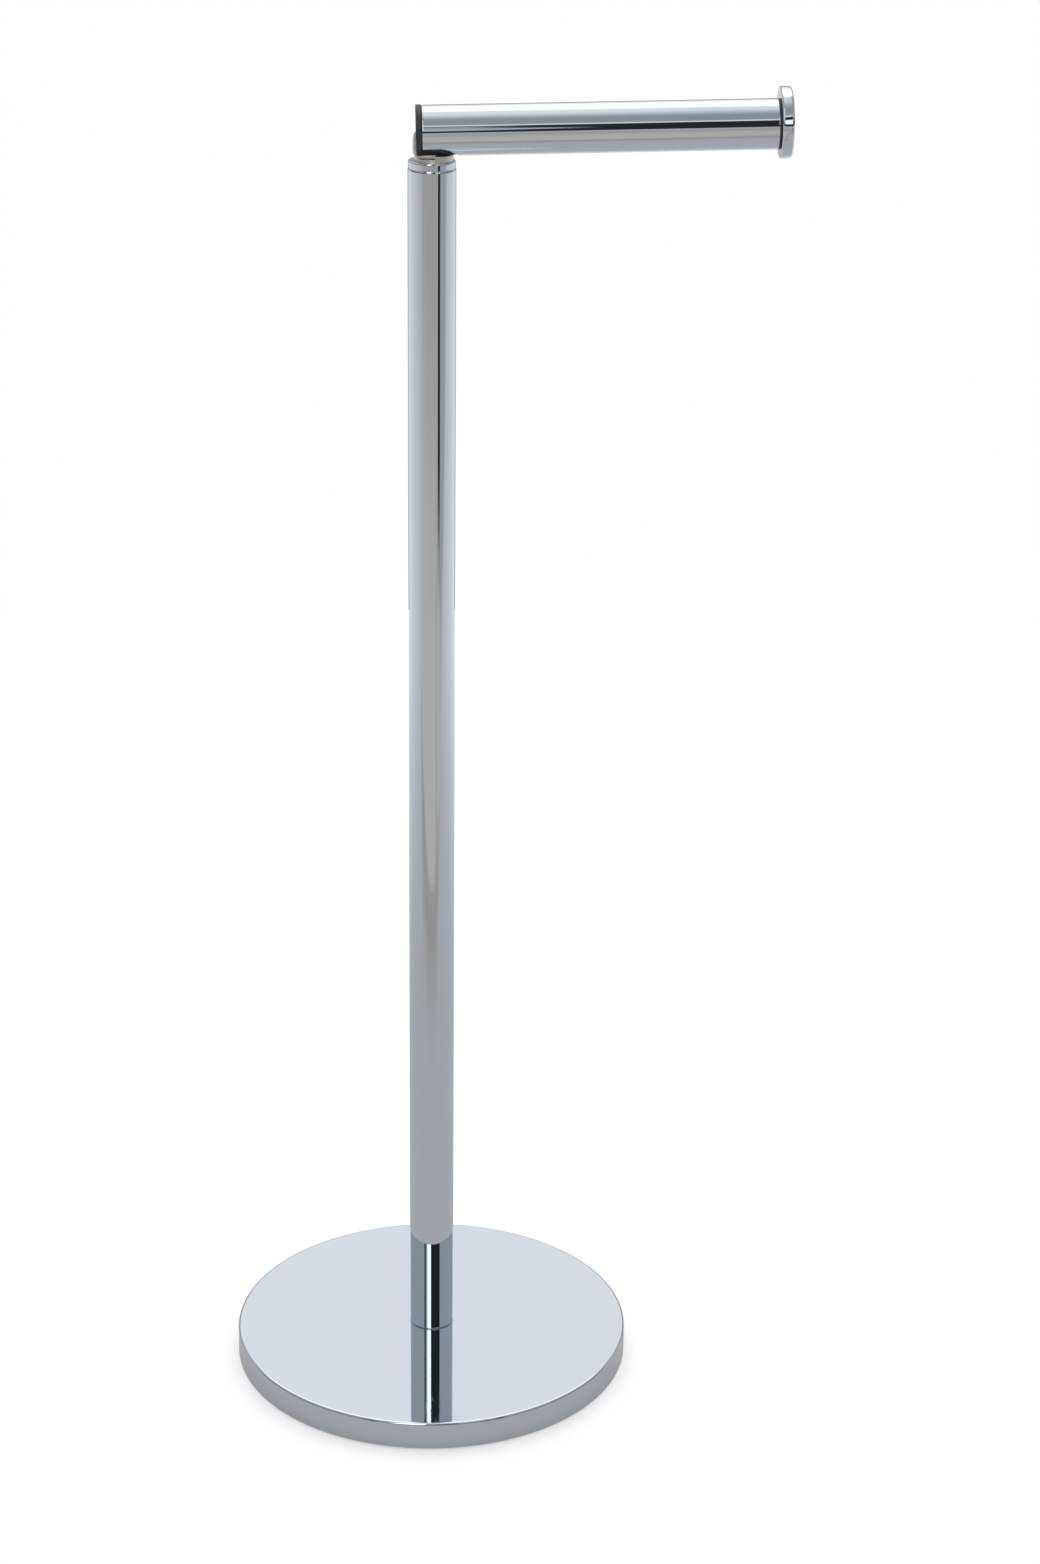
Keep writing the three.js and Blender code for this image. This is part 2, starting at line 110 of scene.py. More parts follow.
class BaseSizes(bpy.types.PropertyGroup):
    """Sizes of the cover and the pad."""
    radius: length("Radius", "Outer radius of the cover", cover_high.x)
    top: length("Top", "Height of the cover's top face", cover_high.z)
    lip: length("Lip", "Height of the cover's lower edge over the floor", cover_low.z)
    fillet: mm("Edge Round", "Radius of the round at the cover's top edge", 1.35)
    sheet: mm("Sheet", "Thickness of the pressed sheet", 0.9)
    bolt_hole: mm("Bolt Hole", "Radius of the hole under the post", 4.4)
    pad_radius: length("Pad Radius", "Outer radius of the pad", pad_high.x)
    pad_top: length("Pad Top", "Height of the pad's upper face", pad_high.z)
    pad_skin: mm("Pad Skin", "Height of the pad's underside between its studs", 0.5)
    stud_rings: IntProperty(name="Stud Rings", description="Rings of studs under the pad",
                            default=10, min=1, max=16)
    stud_spacing: mm("Stud Spacing", "Distance from ring to ring", 9.2)
    stud_radius: mm("Stud Radius", "Radius of a stud at the pad", 2.3)


class PostSizes(bpy.types.PropertyGroup):
    """Sizes of the post and its cap."""
    radius: length("Radius", "Outer radius of the post", post_high.x)
    wall: mm("Wall", "Wall of the post tube", 1.0)
    foot: length("Foot", "Height of the tube's lower end", post_low.z)
    head: length("Head", "Height of the seam between tube and cap", post_high.z)
    roll: mm("Roll", "Radius of the slow roll-in of the tube's edge, twice the cap's", 2.6)
    roll_turn: degrees("Roll Turn", "How far the slow roll-in turns", 21)
    seam: mm("Seam Round", "Small round that ends a rolled-in edge", 0.18)
    foot_seam: mm("Foot Seam", "Round at the tube's foot, over the base", 0.7)
    rim_radius: length("Rim Radius", "Outer radius of the cap's rim", cap_high.x)
    rim_top: length("Rim Top", "Height of the cap's top face", cap_high.z)
    rim_fillet: mm("Rim Round", "Round that ends the cap's top edge", 0.4)
    spigot_foot: length("Spigot Foot", "Height of the spigot's lower end", cap_low.z)
    spigot_radius: mm("Spigot Radius", "Radius of the spigot inside the tube", 9.98)
    spigot_chamfer: mm("Spigot Chamfer", "Chamfer at the spigot's lower end", 0.8)
    pocket_radius: mm("Pocket Radius", "Radius of the pocket for the screw", 5.0)
    web: mm("Web", "Thickness of the cap over the pocket", 6.0)
    screw_hole: mm("Screw Hole", "Radius of the hole through the cap", 2.3)


KNUCKLE_FOOT = 8.95 * MM


class KnuckleSizes(bpy.types.PropertyGroup):
    """Sizes of the knuckle between post and arm."""
    centre: length("Centre", "Place of the turned foot along the arm",
                   knuckle_high.x - KNUCKLE_FOOT)
    foot_radius: length("Foot Radius", "Radius of the turned foot", KNUCKLE_FOOT)
    foot_height: mm("Foot Height", "Height of the foot", 1.5)
    foot_fillet: mm("Foot Round", "Round at the foot's top edge", 0.3)
    land_height: mm("Land Height", "Height of the land that the arm rests on", 2.9)
    land_start: mm("Land Start", "Where the land begins along the arm", 1.5)
    shoulder_radius: mm("Shoulder Radius", "Radius that trims the tongue", 9.59)
    shoulder_height: mm("Shoulder Height", "Height of the shoulder over the cap", 3.2)
    tongue_width: mm("Tongue Width", "Thickness of the tongue", 7.0)
    tongue_radius: mm("Tongue Radius", "Radius of the tongue's round head", 5.84)
    root_fillet: mm("Root Round", "Round where tongue meets land", 0.6)
    pin_bore: mm("Pin Bore", "Radius of the bore for the pin", 1.62)
    screw_bore: mm("Screw Bore", "Radius of the bore for the screw", 2.15)
    screw_depth: mm("Screw Depth", "Depth of the bore for the screw", 5.0)
    edge: mm("Edge Break", "Broken edges of the milled faces", 0.14)


class ArmSizes(bpy.types.PropertyGroup):
    """Sizes of the arm, its insert and its disc, about the hinge pin."""
    tilt: degrees("Rest Tilt", "How far the arm's free end stands up at rest", 1.35)
    radius: mm("Radius", "Outer radius of the arm tube", 11.35)
    wall: mm("Wall", "Wall of the arm tube", 1.0)
    axis: mm("Axis", "Height of the tube's axis over the pin", 4.54)
    start: mm("Start", "Where the tube begins, from the pin", -1.7)
    reach: mm("Length", "Length of the arm tube", 161.1)
    hinge_round: mm("Hinge End Round", "Round of the tube's edge at the hinge", 0.7)
    free_round: mm("Free End Round", "Round of the tube's edge at the disc", 0.45)
    notch: mm("Notch Depth", "Depth of the notch under the hinge end", 4.1)
    notch_flat: mm("Notch Flat", "Length of the notch's flat roof", 10.5)
    notch_ramp: mm("Notch Ramp", "Length of the notch's ramp", 6.8)
    flange: mm("Flange", "Thickness of the insert's flange", 2.6)
    flange_proud: mm("Flange Proud", "How far the flange stands over the tube", 0.25)
    flange_fillet: mm("Flange Round", "Round at the flange's outer edge", 0.35)
    insert_length: mm("Insert Length", "Length of the insert inside the tube", 26.0)
    insert_chamfer: mm("Insert Chamfer", "Chamfer inside the tube, plug too", 0.8)
    insert_edge: mm("Insert Edge", "Broken edges of the moulded insert", 0.12)
    core_radius: mm("Core Radius", "Radius of the insert's blind core", 4.5)
    core_depth: mm("Core Depth", "Depth of the insert's blind core", 13.0)
    gap: mm("Gap", "Gap between the insert and what it clears", 0.3)
    fit: mm("Fit", "Gap of a pressed fit", 0.12)
    slot_width: mm("Slot Width", "Width of the insert's slot", 8.4)
    slot_reach: mm("Slot Reach", "How far the slot reaches from the pin", 6.26)
    washer_radius: mm("Washer Radius", "Radius of the hinge washers", 4.0)
    washer_thickness: mm("Washer Thickness", "Thickness of the hinge washers", 0.5)
    plug_length: mm("Plug Length", "Length of the end plug inside the tube", 18.0)
    plug_flange: mm("Plug Flange", "Thickness of the end plug's flange", 0.6)
    plug_edge: mm("Plug Edge", "Rounds of the end plug's flange", 0.15)
    stud_radius: mm("Stud Radius", "Radius of the stud between plug and disc", 3.0)
    disc_radius: mm("Disc Radius", "Radius of the end disc", 16.1)
    disc_thickness: mm("Disc Thickness", "Thickness of the end disc", 5.4)
    disc_rise: mm("Disc Rise", "Height of the disc's middle over the tube's axis", 0.6)
    disc_outer: mm("Disc Outer Round", "Round at the disc's outer face", 1.3)
    disc_inner: mm("Disc Inner Round", "Round at the disc's inner face", 0.8)
    disc_crown: mm("Disc Crown", "Radius of the slow crown of the disc's rim", 34)
    disc_bore: mm("Disc Bore", "Depth of the bore for the stud", 3.2)


class Finishes(bpy.types.PropertyGroup):
    """Colours and gloss of the finishes."""
    chrome: colour("Chrome", "Reflection colour of the chrome", (0.665, 0.708, 0.765))
    chrome_gloss: share("Chrome Roughness", "Roughness of clean chrome", 0.013)
    chrome_smudge: share("Chrome Smudge", "Roughness where the chrome was handled", 0.045)
    satin: colour("Satin Metal", "Reflection colour of the knuckle", (0.77, 0.742, 0.70))
    satin_gloss: share("Satin Roughness", "Roughness of the knuckle", 0.42)
    moulding: colour("Black Moulding", "Colour of the moulded parts", (0.034, 0.035, 0.040))
    moulding_gloss: share("Moulding Roughness", "Roughness of the moulded parts", 0.42)
    rubber: colour("Rubber", "Colour of the pad", (0.014, 0.014, 0.015))
    iron: colour("Cast Iron", "Colour of the weight", (0.055, 0.056, 0.06))
    zinc: colour("Plated Steel", "Colour of screws, washers and pin", (0.46, 0.47, 0.48))


class StudioSettings(bpy.types.PropertyGroup):
    """The floor, the light and the camera."""
    floor: colour("Floor", "Colour of the floor", (0.60, 0.60, 0.605))
    soft_light: share("Soft Light", "Level of the light from all round", 0.62, 4.0)
    floor_lift: share("Floor Lift", "What the camera sees of the white ground near the stand", 0.5)
    # Strength of the painted light that the floor shows in the metal, stronger far off and towards
    # the back
    painted_ground_light: share("Ground In Metal", "Share of the white ground that metal shows", 0.4)
    even_ground: share("Even Ground", "How evenly lit metal shows the ground", 0.24, 0.5)
    lamp_power: FloatProperty(name="Lamp Power", description="Power of the large lamp overhead",
                              default=26.0, min=0.0, unit="POWER")
    camera_place: FloatVectorProperty(name="Camera Place", description="Where the camera stands",
                                      default=(-0.00994, -1.46965, 0.89476), size=3,
                                      subtype="TRANSLATION")
    camera_turn: degrees("Camera Turn", "Turn towards the arm", 2.06)
    camera_pitch: degrees("Camera Pitch", "How far it looks down", 21.53)
    camera_roll: degrees("Camera Roll", "Roll about the view", -0.63)
    focal_pixels: FloatProperty(name="Focal Length", description="Focal length in photo pixels",
                                default=3249.0, min=1.0)


# Meshes

RING_STEPS = 224
SMALL_STEPS = 72
ROUND_STEPS = 7
FINE_ROUND_STEPS = 3
BROKEN_EDGE_STEPS = 2
SUPPORT = 0.06 * MM
LONG_LINE = SUPPORT * 6
MERGE = 0.002 * MM
CUT_OVERRUN = 2 * MM
FLAT = math.radians(0.3)
SHARP = math.radians(32)
WORKED_EDGE = math.radians(38)
ALONG_ARM = Matrix.Rotation(math.pi / 2, 4, "Y")
ACROSS_ARM = Matrix.Rotation(-math.pi / 2, 4, "X")


def arc(centre_r, centre_z, radius, from_degrees, to_degrees, steps=ROUND_STEPS):
    """Points of an arc in a profile, from one angle to another about its centre."""
    points = []
    for step in range(steps + 1):
        angle = math.radians(from_degrees + (to_degrees - from_degrees) * step / steps)
        points.append((centre_r + radius * math.cos(angle), centre_z + radius * math.sin(angle)))
    return points


def top_round(radius, height, size, steps=ROUND_STEPS):
    """Points of the round at an outer top edge."""
    return arc(radius - size, height - size, size, 0, 90, steps)


def foot_round(radius, height, size, steps=ROUND_STEPS):
    """Points of the round at an outer lower edge."""
    return arc(radius - size, height + size, size, -90, 0, steps)


def rolled_edge(radius, height, roll, turn, small):
    """Points of an edge that rolls in slowly and ends in a small round on the top plane."""
    centre_z = height - small + (small - roll) * math.sin(turn)
    small_r = radius - roll + (roll - small) * math.cos(turn)
    slow = arc(radius - roll, centre_z, roll, 0, math.degrees(turn))
    return slow + arc(small_r, height - small, small, math.degrees(turn), 90)[1:]


def supported(profile, closed):
    """The profile with a point close to each end of its long lines, so that rounds stay round.

    The slice with closed, here and in turned, adds the way back to the first point to a ring.
    """
    points = []
    for start, end in zip(profile, profile[1:] + profile[:closed]):
        points.append(start)
        run = math.dist(start, end)
        if run > LONG_LINE:
            for part in (SUPPORT / run, 1 - SUPPORT / run):
                points.append(tuple(a + (b - a) * part for a, b in zip(start, end)))
    return points if closed else [*points, profile[-1]]


def turned(profile, steps=RING_STEPS, closed=False):
    """A body of revolution about Z from (radius, height) points that run anticlockwise.

    A closed profile is a ring. An open one starts and ends on the axis.
    """
    form = bmesh.new()
    rings = []
    for radius, height in supported(profile, closed):
        rings.append([form.verts.new((radius * math.cos(math.tau * turn / steps),
                                      radius * math.sin(math.tau * turn / steps), height))
                      for turn in range(steps if radius else 1)])
    for low, high in zip(rings, rings[1:] + rings[:closed]):
        for turn in range(steps):
            after = (turn + 1) % steps
            corners = dict.fromkeys((low[turn % len(low)], low[after % len(low)],
                                     high[after % len(high)], high[turn % len(high)]))
            if len(corners) > 2:
                form.faces.new(corners)
    return form


def rod(radius, low, high, steps=SMALL_STEPS):
    """A plain round bar about Z, as a tool for cuts and bores."""
    return turned([(0.0, low), (radius, low), (radius, high), (0.0, high)], steps)


def plate(points, width):
    """A plate with its outline in X and Z, anticlockwise seen from -Y, centred on Y."""
    form = bmesh.new()
    near, far = ([form.verts.new((x, side * width / 2, z)) for x, z in points]
                 for side in (-1, 1))
    form.faces.new(near)
    form.faces.new(far[::-1])
    for at in range(len(points)):
        after = (at + 1) % len(points)
        form.faces.new((near[after], near[at], far[at], far[after]))
    return form


def block(x_low, x_high, z_low, z_high, width):
    """A block centred on Y."""
    return plate([(x_low, z_low), (x_high, z_low), (x_high, z_high), (x_low, z_high)], width)


def moved(form, matrix):
    """The form, moved by a matrix."""
    bmesh.ops.transform(form, matrix=matrix, verts=form.verts)
    return form


def piece(name, form):
    """An object with its place in its mesh, linked to the scene."""
    mesh = bpy.data.meshes.new(name)
    form.to_mesh(mesh)
    form.free()
    made = bpy.data.objects.new(name, mesh)
    bpy.context.scene.collection.objects.link(made)
    return made


def dropped(helper):
    """Removes a helper object with its mesh."""
    mesh = helper.data
    bpy.data.objects.remove(helper)
    bpy.data.meshes.remove(mesh)


def shape_of(helper):
    """The form of a helper object, which goes."""
    form = bmesh.new()
    form.from_mesh(helper.data)
    dropped(helper)
    return form


def applied(target):
    """Makes what the modifiers give the object's plain mesh."""
    bpy.context.view_layer.update()
    graph = bpy.context.evaluated_depsgraph_get()
    mesh = bpy.data.meshes.new_from_object(target.evaluated_get(graph))
    old = target.data
    target.modifiers.clear()
    target.data = mesh
    bpy.data.meshes.remove(old)
    mesh.name = target.name


def worked(target, form, operation):
    """The target with a form cut from it or joined on, or what both share."""
    tool = piece("tool", form)
    change = target.modifiers.new("work", "BOOLEAN")
    change.operation, change.solver, change.object = operation, "EXACT", tool
    applied(target)
    dropped(tool)
    return target


def edges_broken(target, width):
    """Rounds the sharp edges of a worked body a little."""
    form = bmesh.new()
    form.from_mesh(target.data)
    bmesh.ops.remove_doubles(form, verts=form.verts, dist=MERGE)
    bmesh.ops.dissolve_limit(form, angle_limit=FLAT, verts=form.verts, edges=form.edges)
    bmesh.ops.recalc_face_normals(form, faces=form.faces)
    form.to_mesh(target.data)
    form.free()
    change = target.modifiers.new("edges", "BEVEL")
    change.width, change.segments = width, BROKEN_EDGE_STEPS
    change.limit_method, change.angle_limit = "ANGLE", WORKED_EDGE
    applied(target)


def material(name):
    """A finish that the finishes operator has made."""
    found = bpy.data.materials.get(name)
    if found is None:
        raise RuntimeError(f"the finish {name} isn't there yet: run the finishes operator first")
    return found


def dressed(target, finish):
    """Gives an object one finish."""
    target.data.materials.clear()
    target.data.materials.append(material(finish))


def finished(target, finish, body, slot, *nodes):
    """Shades a piece, dresses it, hangs it on its body's empty and hides the CAD parts it stands
    for.
    """
    target.data.shade_smooth()
    target.data.set_sharp_from_angle(angle=SHARP)
    dressed(target, finish)
    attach(target, body)
    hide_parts(*nodes)


def arm_place(size):
    """From the arm's own place, about the pin, to its place at rest."""
    return Matrix.Translation(pin_point) @ Matrix.Rotation(-size.tilt, 4, "Y")


def tube_line(size, rise=0.0):
    """From a body turned about Z to the tube's axis, in the arm's own place."""
    return Matrix.Translation((0, 0, size.axis + rise)) @ ALONG_ARM


# Shader nodes

WHITE = (1.0, 1.0, 1.0, 1.0)
BLACK = (0.0, 0.0, 0.0, 1.0)


def cleared(owner):
    """The emptied node tree of a material or a world."""
    owner.use_nodes = True
    owner.node_tree.nodes.clear()
    return owner.node_tree


def put(tree, kind, values=None, **settings):
    """Adds a node, sets it up and joins or fills its sockets."""
    made = tree.nodes.new(kind)
    for key, value in settings.items():
        setattr(made, key, value)
    for socket, value in (values or {}).items():
        if isinstance(value, bpy.types.NodeSocket):
            tree.links.new(value, made.inputs[socket])
        else:
            made.inputs[socket].default_value = value
    return made


def maths(tree, operation, *values, clamp=False):
    """The result of a Math node."""
    return put(tree, "ShaderNodeMath", dict(enumerate(values)), operation=operation,
               use_clamp=clamp).outputs[0]


def times(tree, *values):
    """Two or more values, multiplied one after the other."""
    product = values[0]
    for value in values[1:]:
        product = maths(tree, "MULTIPLY", product, value)
    return product


def ranged(tree, value, low, high, to_low=0.0, to_high=1.0, kind="SMOOTHSTEP"):
    """A value brought from one range to another, with soft ends unless it is linear."""
    return put(tree, "ShaderNodeMapRange",
               {"Value": value, "From Min": low, "From Max": high, "To Min": to_low,
                "To Max": to_high}, interpolation_type=kind).outputs["Result"]


def stretched(tree, vector, scale, turn=(0.0, 0.0, 0.0)):
    """Coordinates turned, then stretched."""
    line = put(tree, "ShaderNodeMapping", {"Vector": vector, "Rotation": turn}).outputs[0]
    return put(tree, "ShaderNodeVectorMath", {0: line, 1: scale}, operation="MULTIPLY").outputs[0]


def noise(tree, vector, scale, detail=2.0, roughness=0.5):
    """The factor of a noise texture."""
    return put(tree, "ShaderNodeTexNoise", {"Vector": vector, "Scale": scale, "Detail": detail,
                                            "Roughness": roughness}).outputs["Fac"]


def opaque(shade, part=1.0):
    """A colour with alpha, or a darker tone of it."""
    return (*(value * part for value in shade), 1.0)


def mixed(tree, factor, one, two):
    """A colour between two colours, by a mask. Sockets 6, 7 and 2 are the node's colours."""
    return put(tree, "ShaderNodeMix", {"Factor": factor, 6: one, 7: two},
               data_type="RGBA").outputs[2]


def vector_of(tree, x, y, z=0.0):
    """A vector from its parts."""
    return put(tree, "ShaderNodeCombineXYZ", {0: x, 1: y, 2: z}).outputs[0]


def effect(name, inputs, *outputs):
    """An empty shader group and what it is given. An input without a default is a vector."""
    tree = bpy.data.node_groups.new(name, "ShaderNodeTree")
    for label, default in inputs.items():
        kind = "NodeSocketVector" if default is None else "NodeSocketFloat"
        socket = tree.interface.new_socket(label, in_out="INPUT", socket_type=kind)
        if default is not None:
            socket.default_value = default
    for label in outputs:
        tree.interface.new_socket(label, in_out="OUTPUT", socket_type="NodeSocketFloat")
    return tree, tree.nodes.new("NodeGroupInput").outputs


# How three sets of hairline scratches are turned and stretched
HAIRLINES = (((0.3, 0.5, 0.2), (900.0, 34.0, 30.0)),
             ((1.2, -0.4, 0.9), (34.0, 1150.0, 26.0)),
             ((-0.6, 0.2, 1.9), (30.0, 38.0, 820.0)))
HAIRLINE_WIDTH = 0.011
# Between which values of a noise smudges and scratches set in
CLOUDS, PATCHES, SPARSE = (0.47, 0.72), (0.42, 0.66), (0.5, 0.66)


def handled_polish():
    """Group: smudges and hairline scratches of a polished surface that was handled."""
    tree, given = effect("Handled Polish", {
        "Vector": None, "Clean Roughness": 0.03, "Smudged Roughness": 0.08,
        "Smudge Scale": 24.0, "Scratch Roughness": 0.05}, "Roughness", "Height", "Smudge")
    vector = given["Vector"]
    cloud = noise(tree, vector, given["Smudge Scale"], 4.0, 0.62)
    patch = noise(tree, stretched(tree, vector, (1.0, 1.0, 0.6)), 7.0, 1.0)
    smudge = times(tree, ranged(tree, cloud, *CLOUDS), ranged(tree, patch, *PATCHES))
    lines = None
    for turn, scale in HAIRLINES:
        field = noise(tree, stretched(tree, vector, scale, turn), 1.0, 1.0)
        off = maths(tree, "ABSOLUTE", maths(tree, "SUBTRACT", field, 0.5))
        line = ranged(tree, off, 0.0, HAIRLINE_WIDTH, 1.0, 0.0)
        lines = line if lines is None else maths(tree, "MAXIMUM", lines, line)
    sparse = ranged(tree, noise(tree, vector, 41.0), *SPARSE)
    scratch = times(tree, lines, sparse)
    rough = put(tree, "ShaderNodeMix", {"Factor": smudge, "A": given["Clean Roughness"],
                                        "B": given["Smudged Roughness"]}).outputs[0]
    put(tree, "NodeGroupOutput", {
        "Roughness": maths(tree, "MULTIPLY_ADD", scratch, given["Scratch Roughness"], rough),
        "Height": maths(tree, "SUBTRACT", 1.0, scratch), "Smudge": smudge})


def drawn_wave():
    """Group: the faint long waves of a drawn and polished tube, along Z of its vector."""
    tree, given = effect("Drawn Wave", {"Vector": None, "Across": 90.0, "Along": 5.0}, "Height")
    scale = vector_of(tree, given["Across"], given["Across"], given["Along"])
    place = put(tree, "ShaderNodeVectorMath", {0: given["Vector"], 1: scale},
                operation="MULTIPLY").outputs[0]
    put(tree, "NodeGroupOutput", {"Height": noise(tree, place, 1.0, 2.0, 0.4)})


def moulded_grain():
    """Group: the fine eroded grain of a mould, with slight changes of tone."""
    tree, given = effect("Moulded Grain", {"Vector": None, "Scale": 2600.0}, "Height", "Tone")
    fine = noise(tree, given["Vector"], given["Scale"], 3.0, 0.6)
    broad = noise(tree, given["Vector"], times(tree, given["Scale"], 0.06))
    put(tree, "NodeGroupOutput", {"Height": ranged(tree, fine, 0.3, 0.7),
                                  "Tone": ranged(tree, broad, 0.35, 0.65)})


def lathe_rings():
    """Group: fine turning rings about Z of its vector, uneven from ring to ring."""
    tree, given = effect("Lathe Rings", {"Vector": None, "Pitch": 0.12 * MM}, "Height", "Tone")
    x, y, z = put(tree, "ShaderNodeSeparateXYZ", {0: given["Vector"]}).outputs
    away = maths(tree, "SQRT", maths(tree, "ADD", maths(tree, "POWER", x, 2.0),
                                     maths(tree, "POWER", y, 2.0)))
    turn = maths(tree, "DIVIDE", maths(tree, "ADD", away, z), given["Pitch"])
    sine = maths(tree, "SINE", times(tree, turn, math.tau))
    wave = maths(tree, "MULTIPLY_ADD", sine, 0.5, 0.5)
    uneven = noise(tree, vector_of(tree, times(tree, turn, 0.31), 0.4, 0.7), 1.0)
    put(tree, "NodeGroupOutput", {"Height": times(tree, wave, uneven),
                                  "Tone": ranged(tree, uneven, 0.3, 0.7)})


def placed(tree, name, values):
    """The outputs of an effect that is placed in a material with its own values."""
    return put(tree, "ShaderNodeGroup", values, node_tree=bpy.data.node_groups[name]).outputs


def blank_material(name, metallic):
    """A new material's tree, its Principled shader and its object coordinates."""
    tree = cleared(bpy.data.materials.new(name))
    shader = put(tree, "ShaderNodeBsdfPrincipled", {"Metallic": metallic})
    put(tree, "ShaderNodeOutputMaterial", {"Surface": shader.outputs[0]})
    return tree, shader, put(tree, "ShaderNodeTexCoord").outputs["Object"]


def polished(tree, shader, place, clean, smudged, scale, scratch):
    """Gives the shader the handled polish's roughness, and returns the polish."""
    polish = placed(tree, "Handled Polish", {
        "Vector": place, "Clean Roughness": clean, "Smudged Roughness": smudged,
        "Smudge Scale": scale, "Scratch Roughness": scratch})
    tree.links.new(polish["Roughness"], shader.inputs["Roughness"])
    return polish


def toned(tree, shader, shade, factor, dark):
    """Gives the shader a colour that goes towards a darker tone of itself by a mask."""
    colour_between = mixed(tree, factor, opaque(shade), opaque(shade, dark))
    tree.links.new(colour_between, shader.inputs["Base Color"])


def bumped(tree, shader, height, distance, before=None):
    """Joins a height to the shader's normal and returns the bump's own normal."""
    values = {"Strength": 1.0, "Distance": distance, "Height": height}
    if before is not None:
        values["Normal"] = before
    normal = put(tree, "ShaderNodeBump", values).outputs[0]
    tree.links.new(normal, shader.inputs["Normal"])
    return normal


WAVE_DEPTH = 0.0011 * MM
SCRATCH_DEPTH = 0.0004 * MM


def chrome(name, look, wave_turn=None, smudge_scale=24.0):
    """Polished chrome: bluish, faintly smudged and scratched, with a drawn tube's waves."""
    tree, shader, place = blank_material(name, 1.0)
    polish = polished(tree, shader, place, look.chrome_gloss, look.chrome_smudge,
                      scale=smudge_scale, scratch=0.05)
    toned(tree, shader, look.chrome, polish["Smudge"], 0.965)
    normal = None
    if wave_turn is not None:
        line = put(tree, "ShaderNodeMapping", {"Vector": place, "Rotation": wave_turn}).outputs[0]
        waves = placed(tree, "Drawn Wave", {"Vector": line, "Across": 120.0, "Along": 5.0})
        normal = bumped(tree, shader, waves["Height"], WAVE_DEPTH)
    bumped(tree, shader, polish["Height"], SCRATCH_DEPTH, normal)


def satin_metal(look, centre):
    """The knuckle's satin metal: warm grey, with fine turning rings."""
    tree, shader, place = blank_material("Satin Metal", 1.0)
    middle = put(tree, "ShaderNodeMapping", {"Vector": place,
                                             "Location": (-centre, 0.0, 0.0)}).outputs[0]
    rings = placed(tree, "Lathe Rings", {"Vector": middle, "Pitch": 0.3 * MM})
    polish = polished(tree, shader, place, look.satin_gloss, look.satin_gloss * 1.35,
                      scale=160.0, scratch=0.12)
    toned(tree, shader, look.satin, rings["Tone"], 0.9)
    normal = bumped(tree, shader, rings["Height"], 0.004 * MM)
    bumped(tree, shader, polish["Height"], 0.002 * MM, normal)


def moulding(name, shade, gloss, grain, depth, dark=0.7, metallic=0.0):
    """A moulded or cast surface with its grain."""
    tree, shader, place = blank_material(name, metallic)
    fine = placed(tree, "Moulded Grain", {"Vector": place, "Scale": grain})
    toned(tree, shader, shade, fine["Tone"], dark)
    rough = ranged(tree, fine["Tone"], 0.0, 1.0, gloss * 0.9, min(1.0, gloss * 1.12), "LINEAR")
    tree.links.new(rough, shader.inputs["Roughness"])
    bumped(tree, shader, fine["Height"], depth)


def plated_steel(look):
    """Zinc plating: pale steel with a patchy tone and handling marks."""
    tree, shader, place = blank_material("Plated Steel", 1.0)
    polish = polished(tree, shader, place, clean=0.3, smudged=0.42, scale=210.0, scratch=0.15)
    fine = placed(tree, "Moulded Grain", {"Vector": place, "Scale": 3800.0})
    toned(tree, shader, look.zinc, fine["Tone"], 0.78)
    normal = bumped(tree, shader, fine["Height"], 0.003 * MM)
    bumped(tree, shader, polish["Height"], 0.003 * MM, normal)


# Studs under the pad

STUD_SIDES = 14
STUD_SINK = 0.25 * MM
STUD_TAPER = 0.82
ROUNDING = 0.001


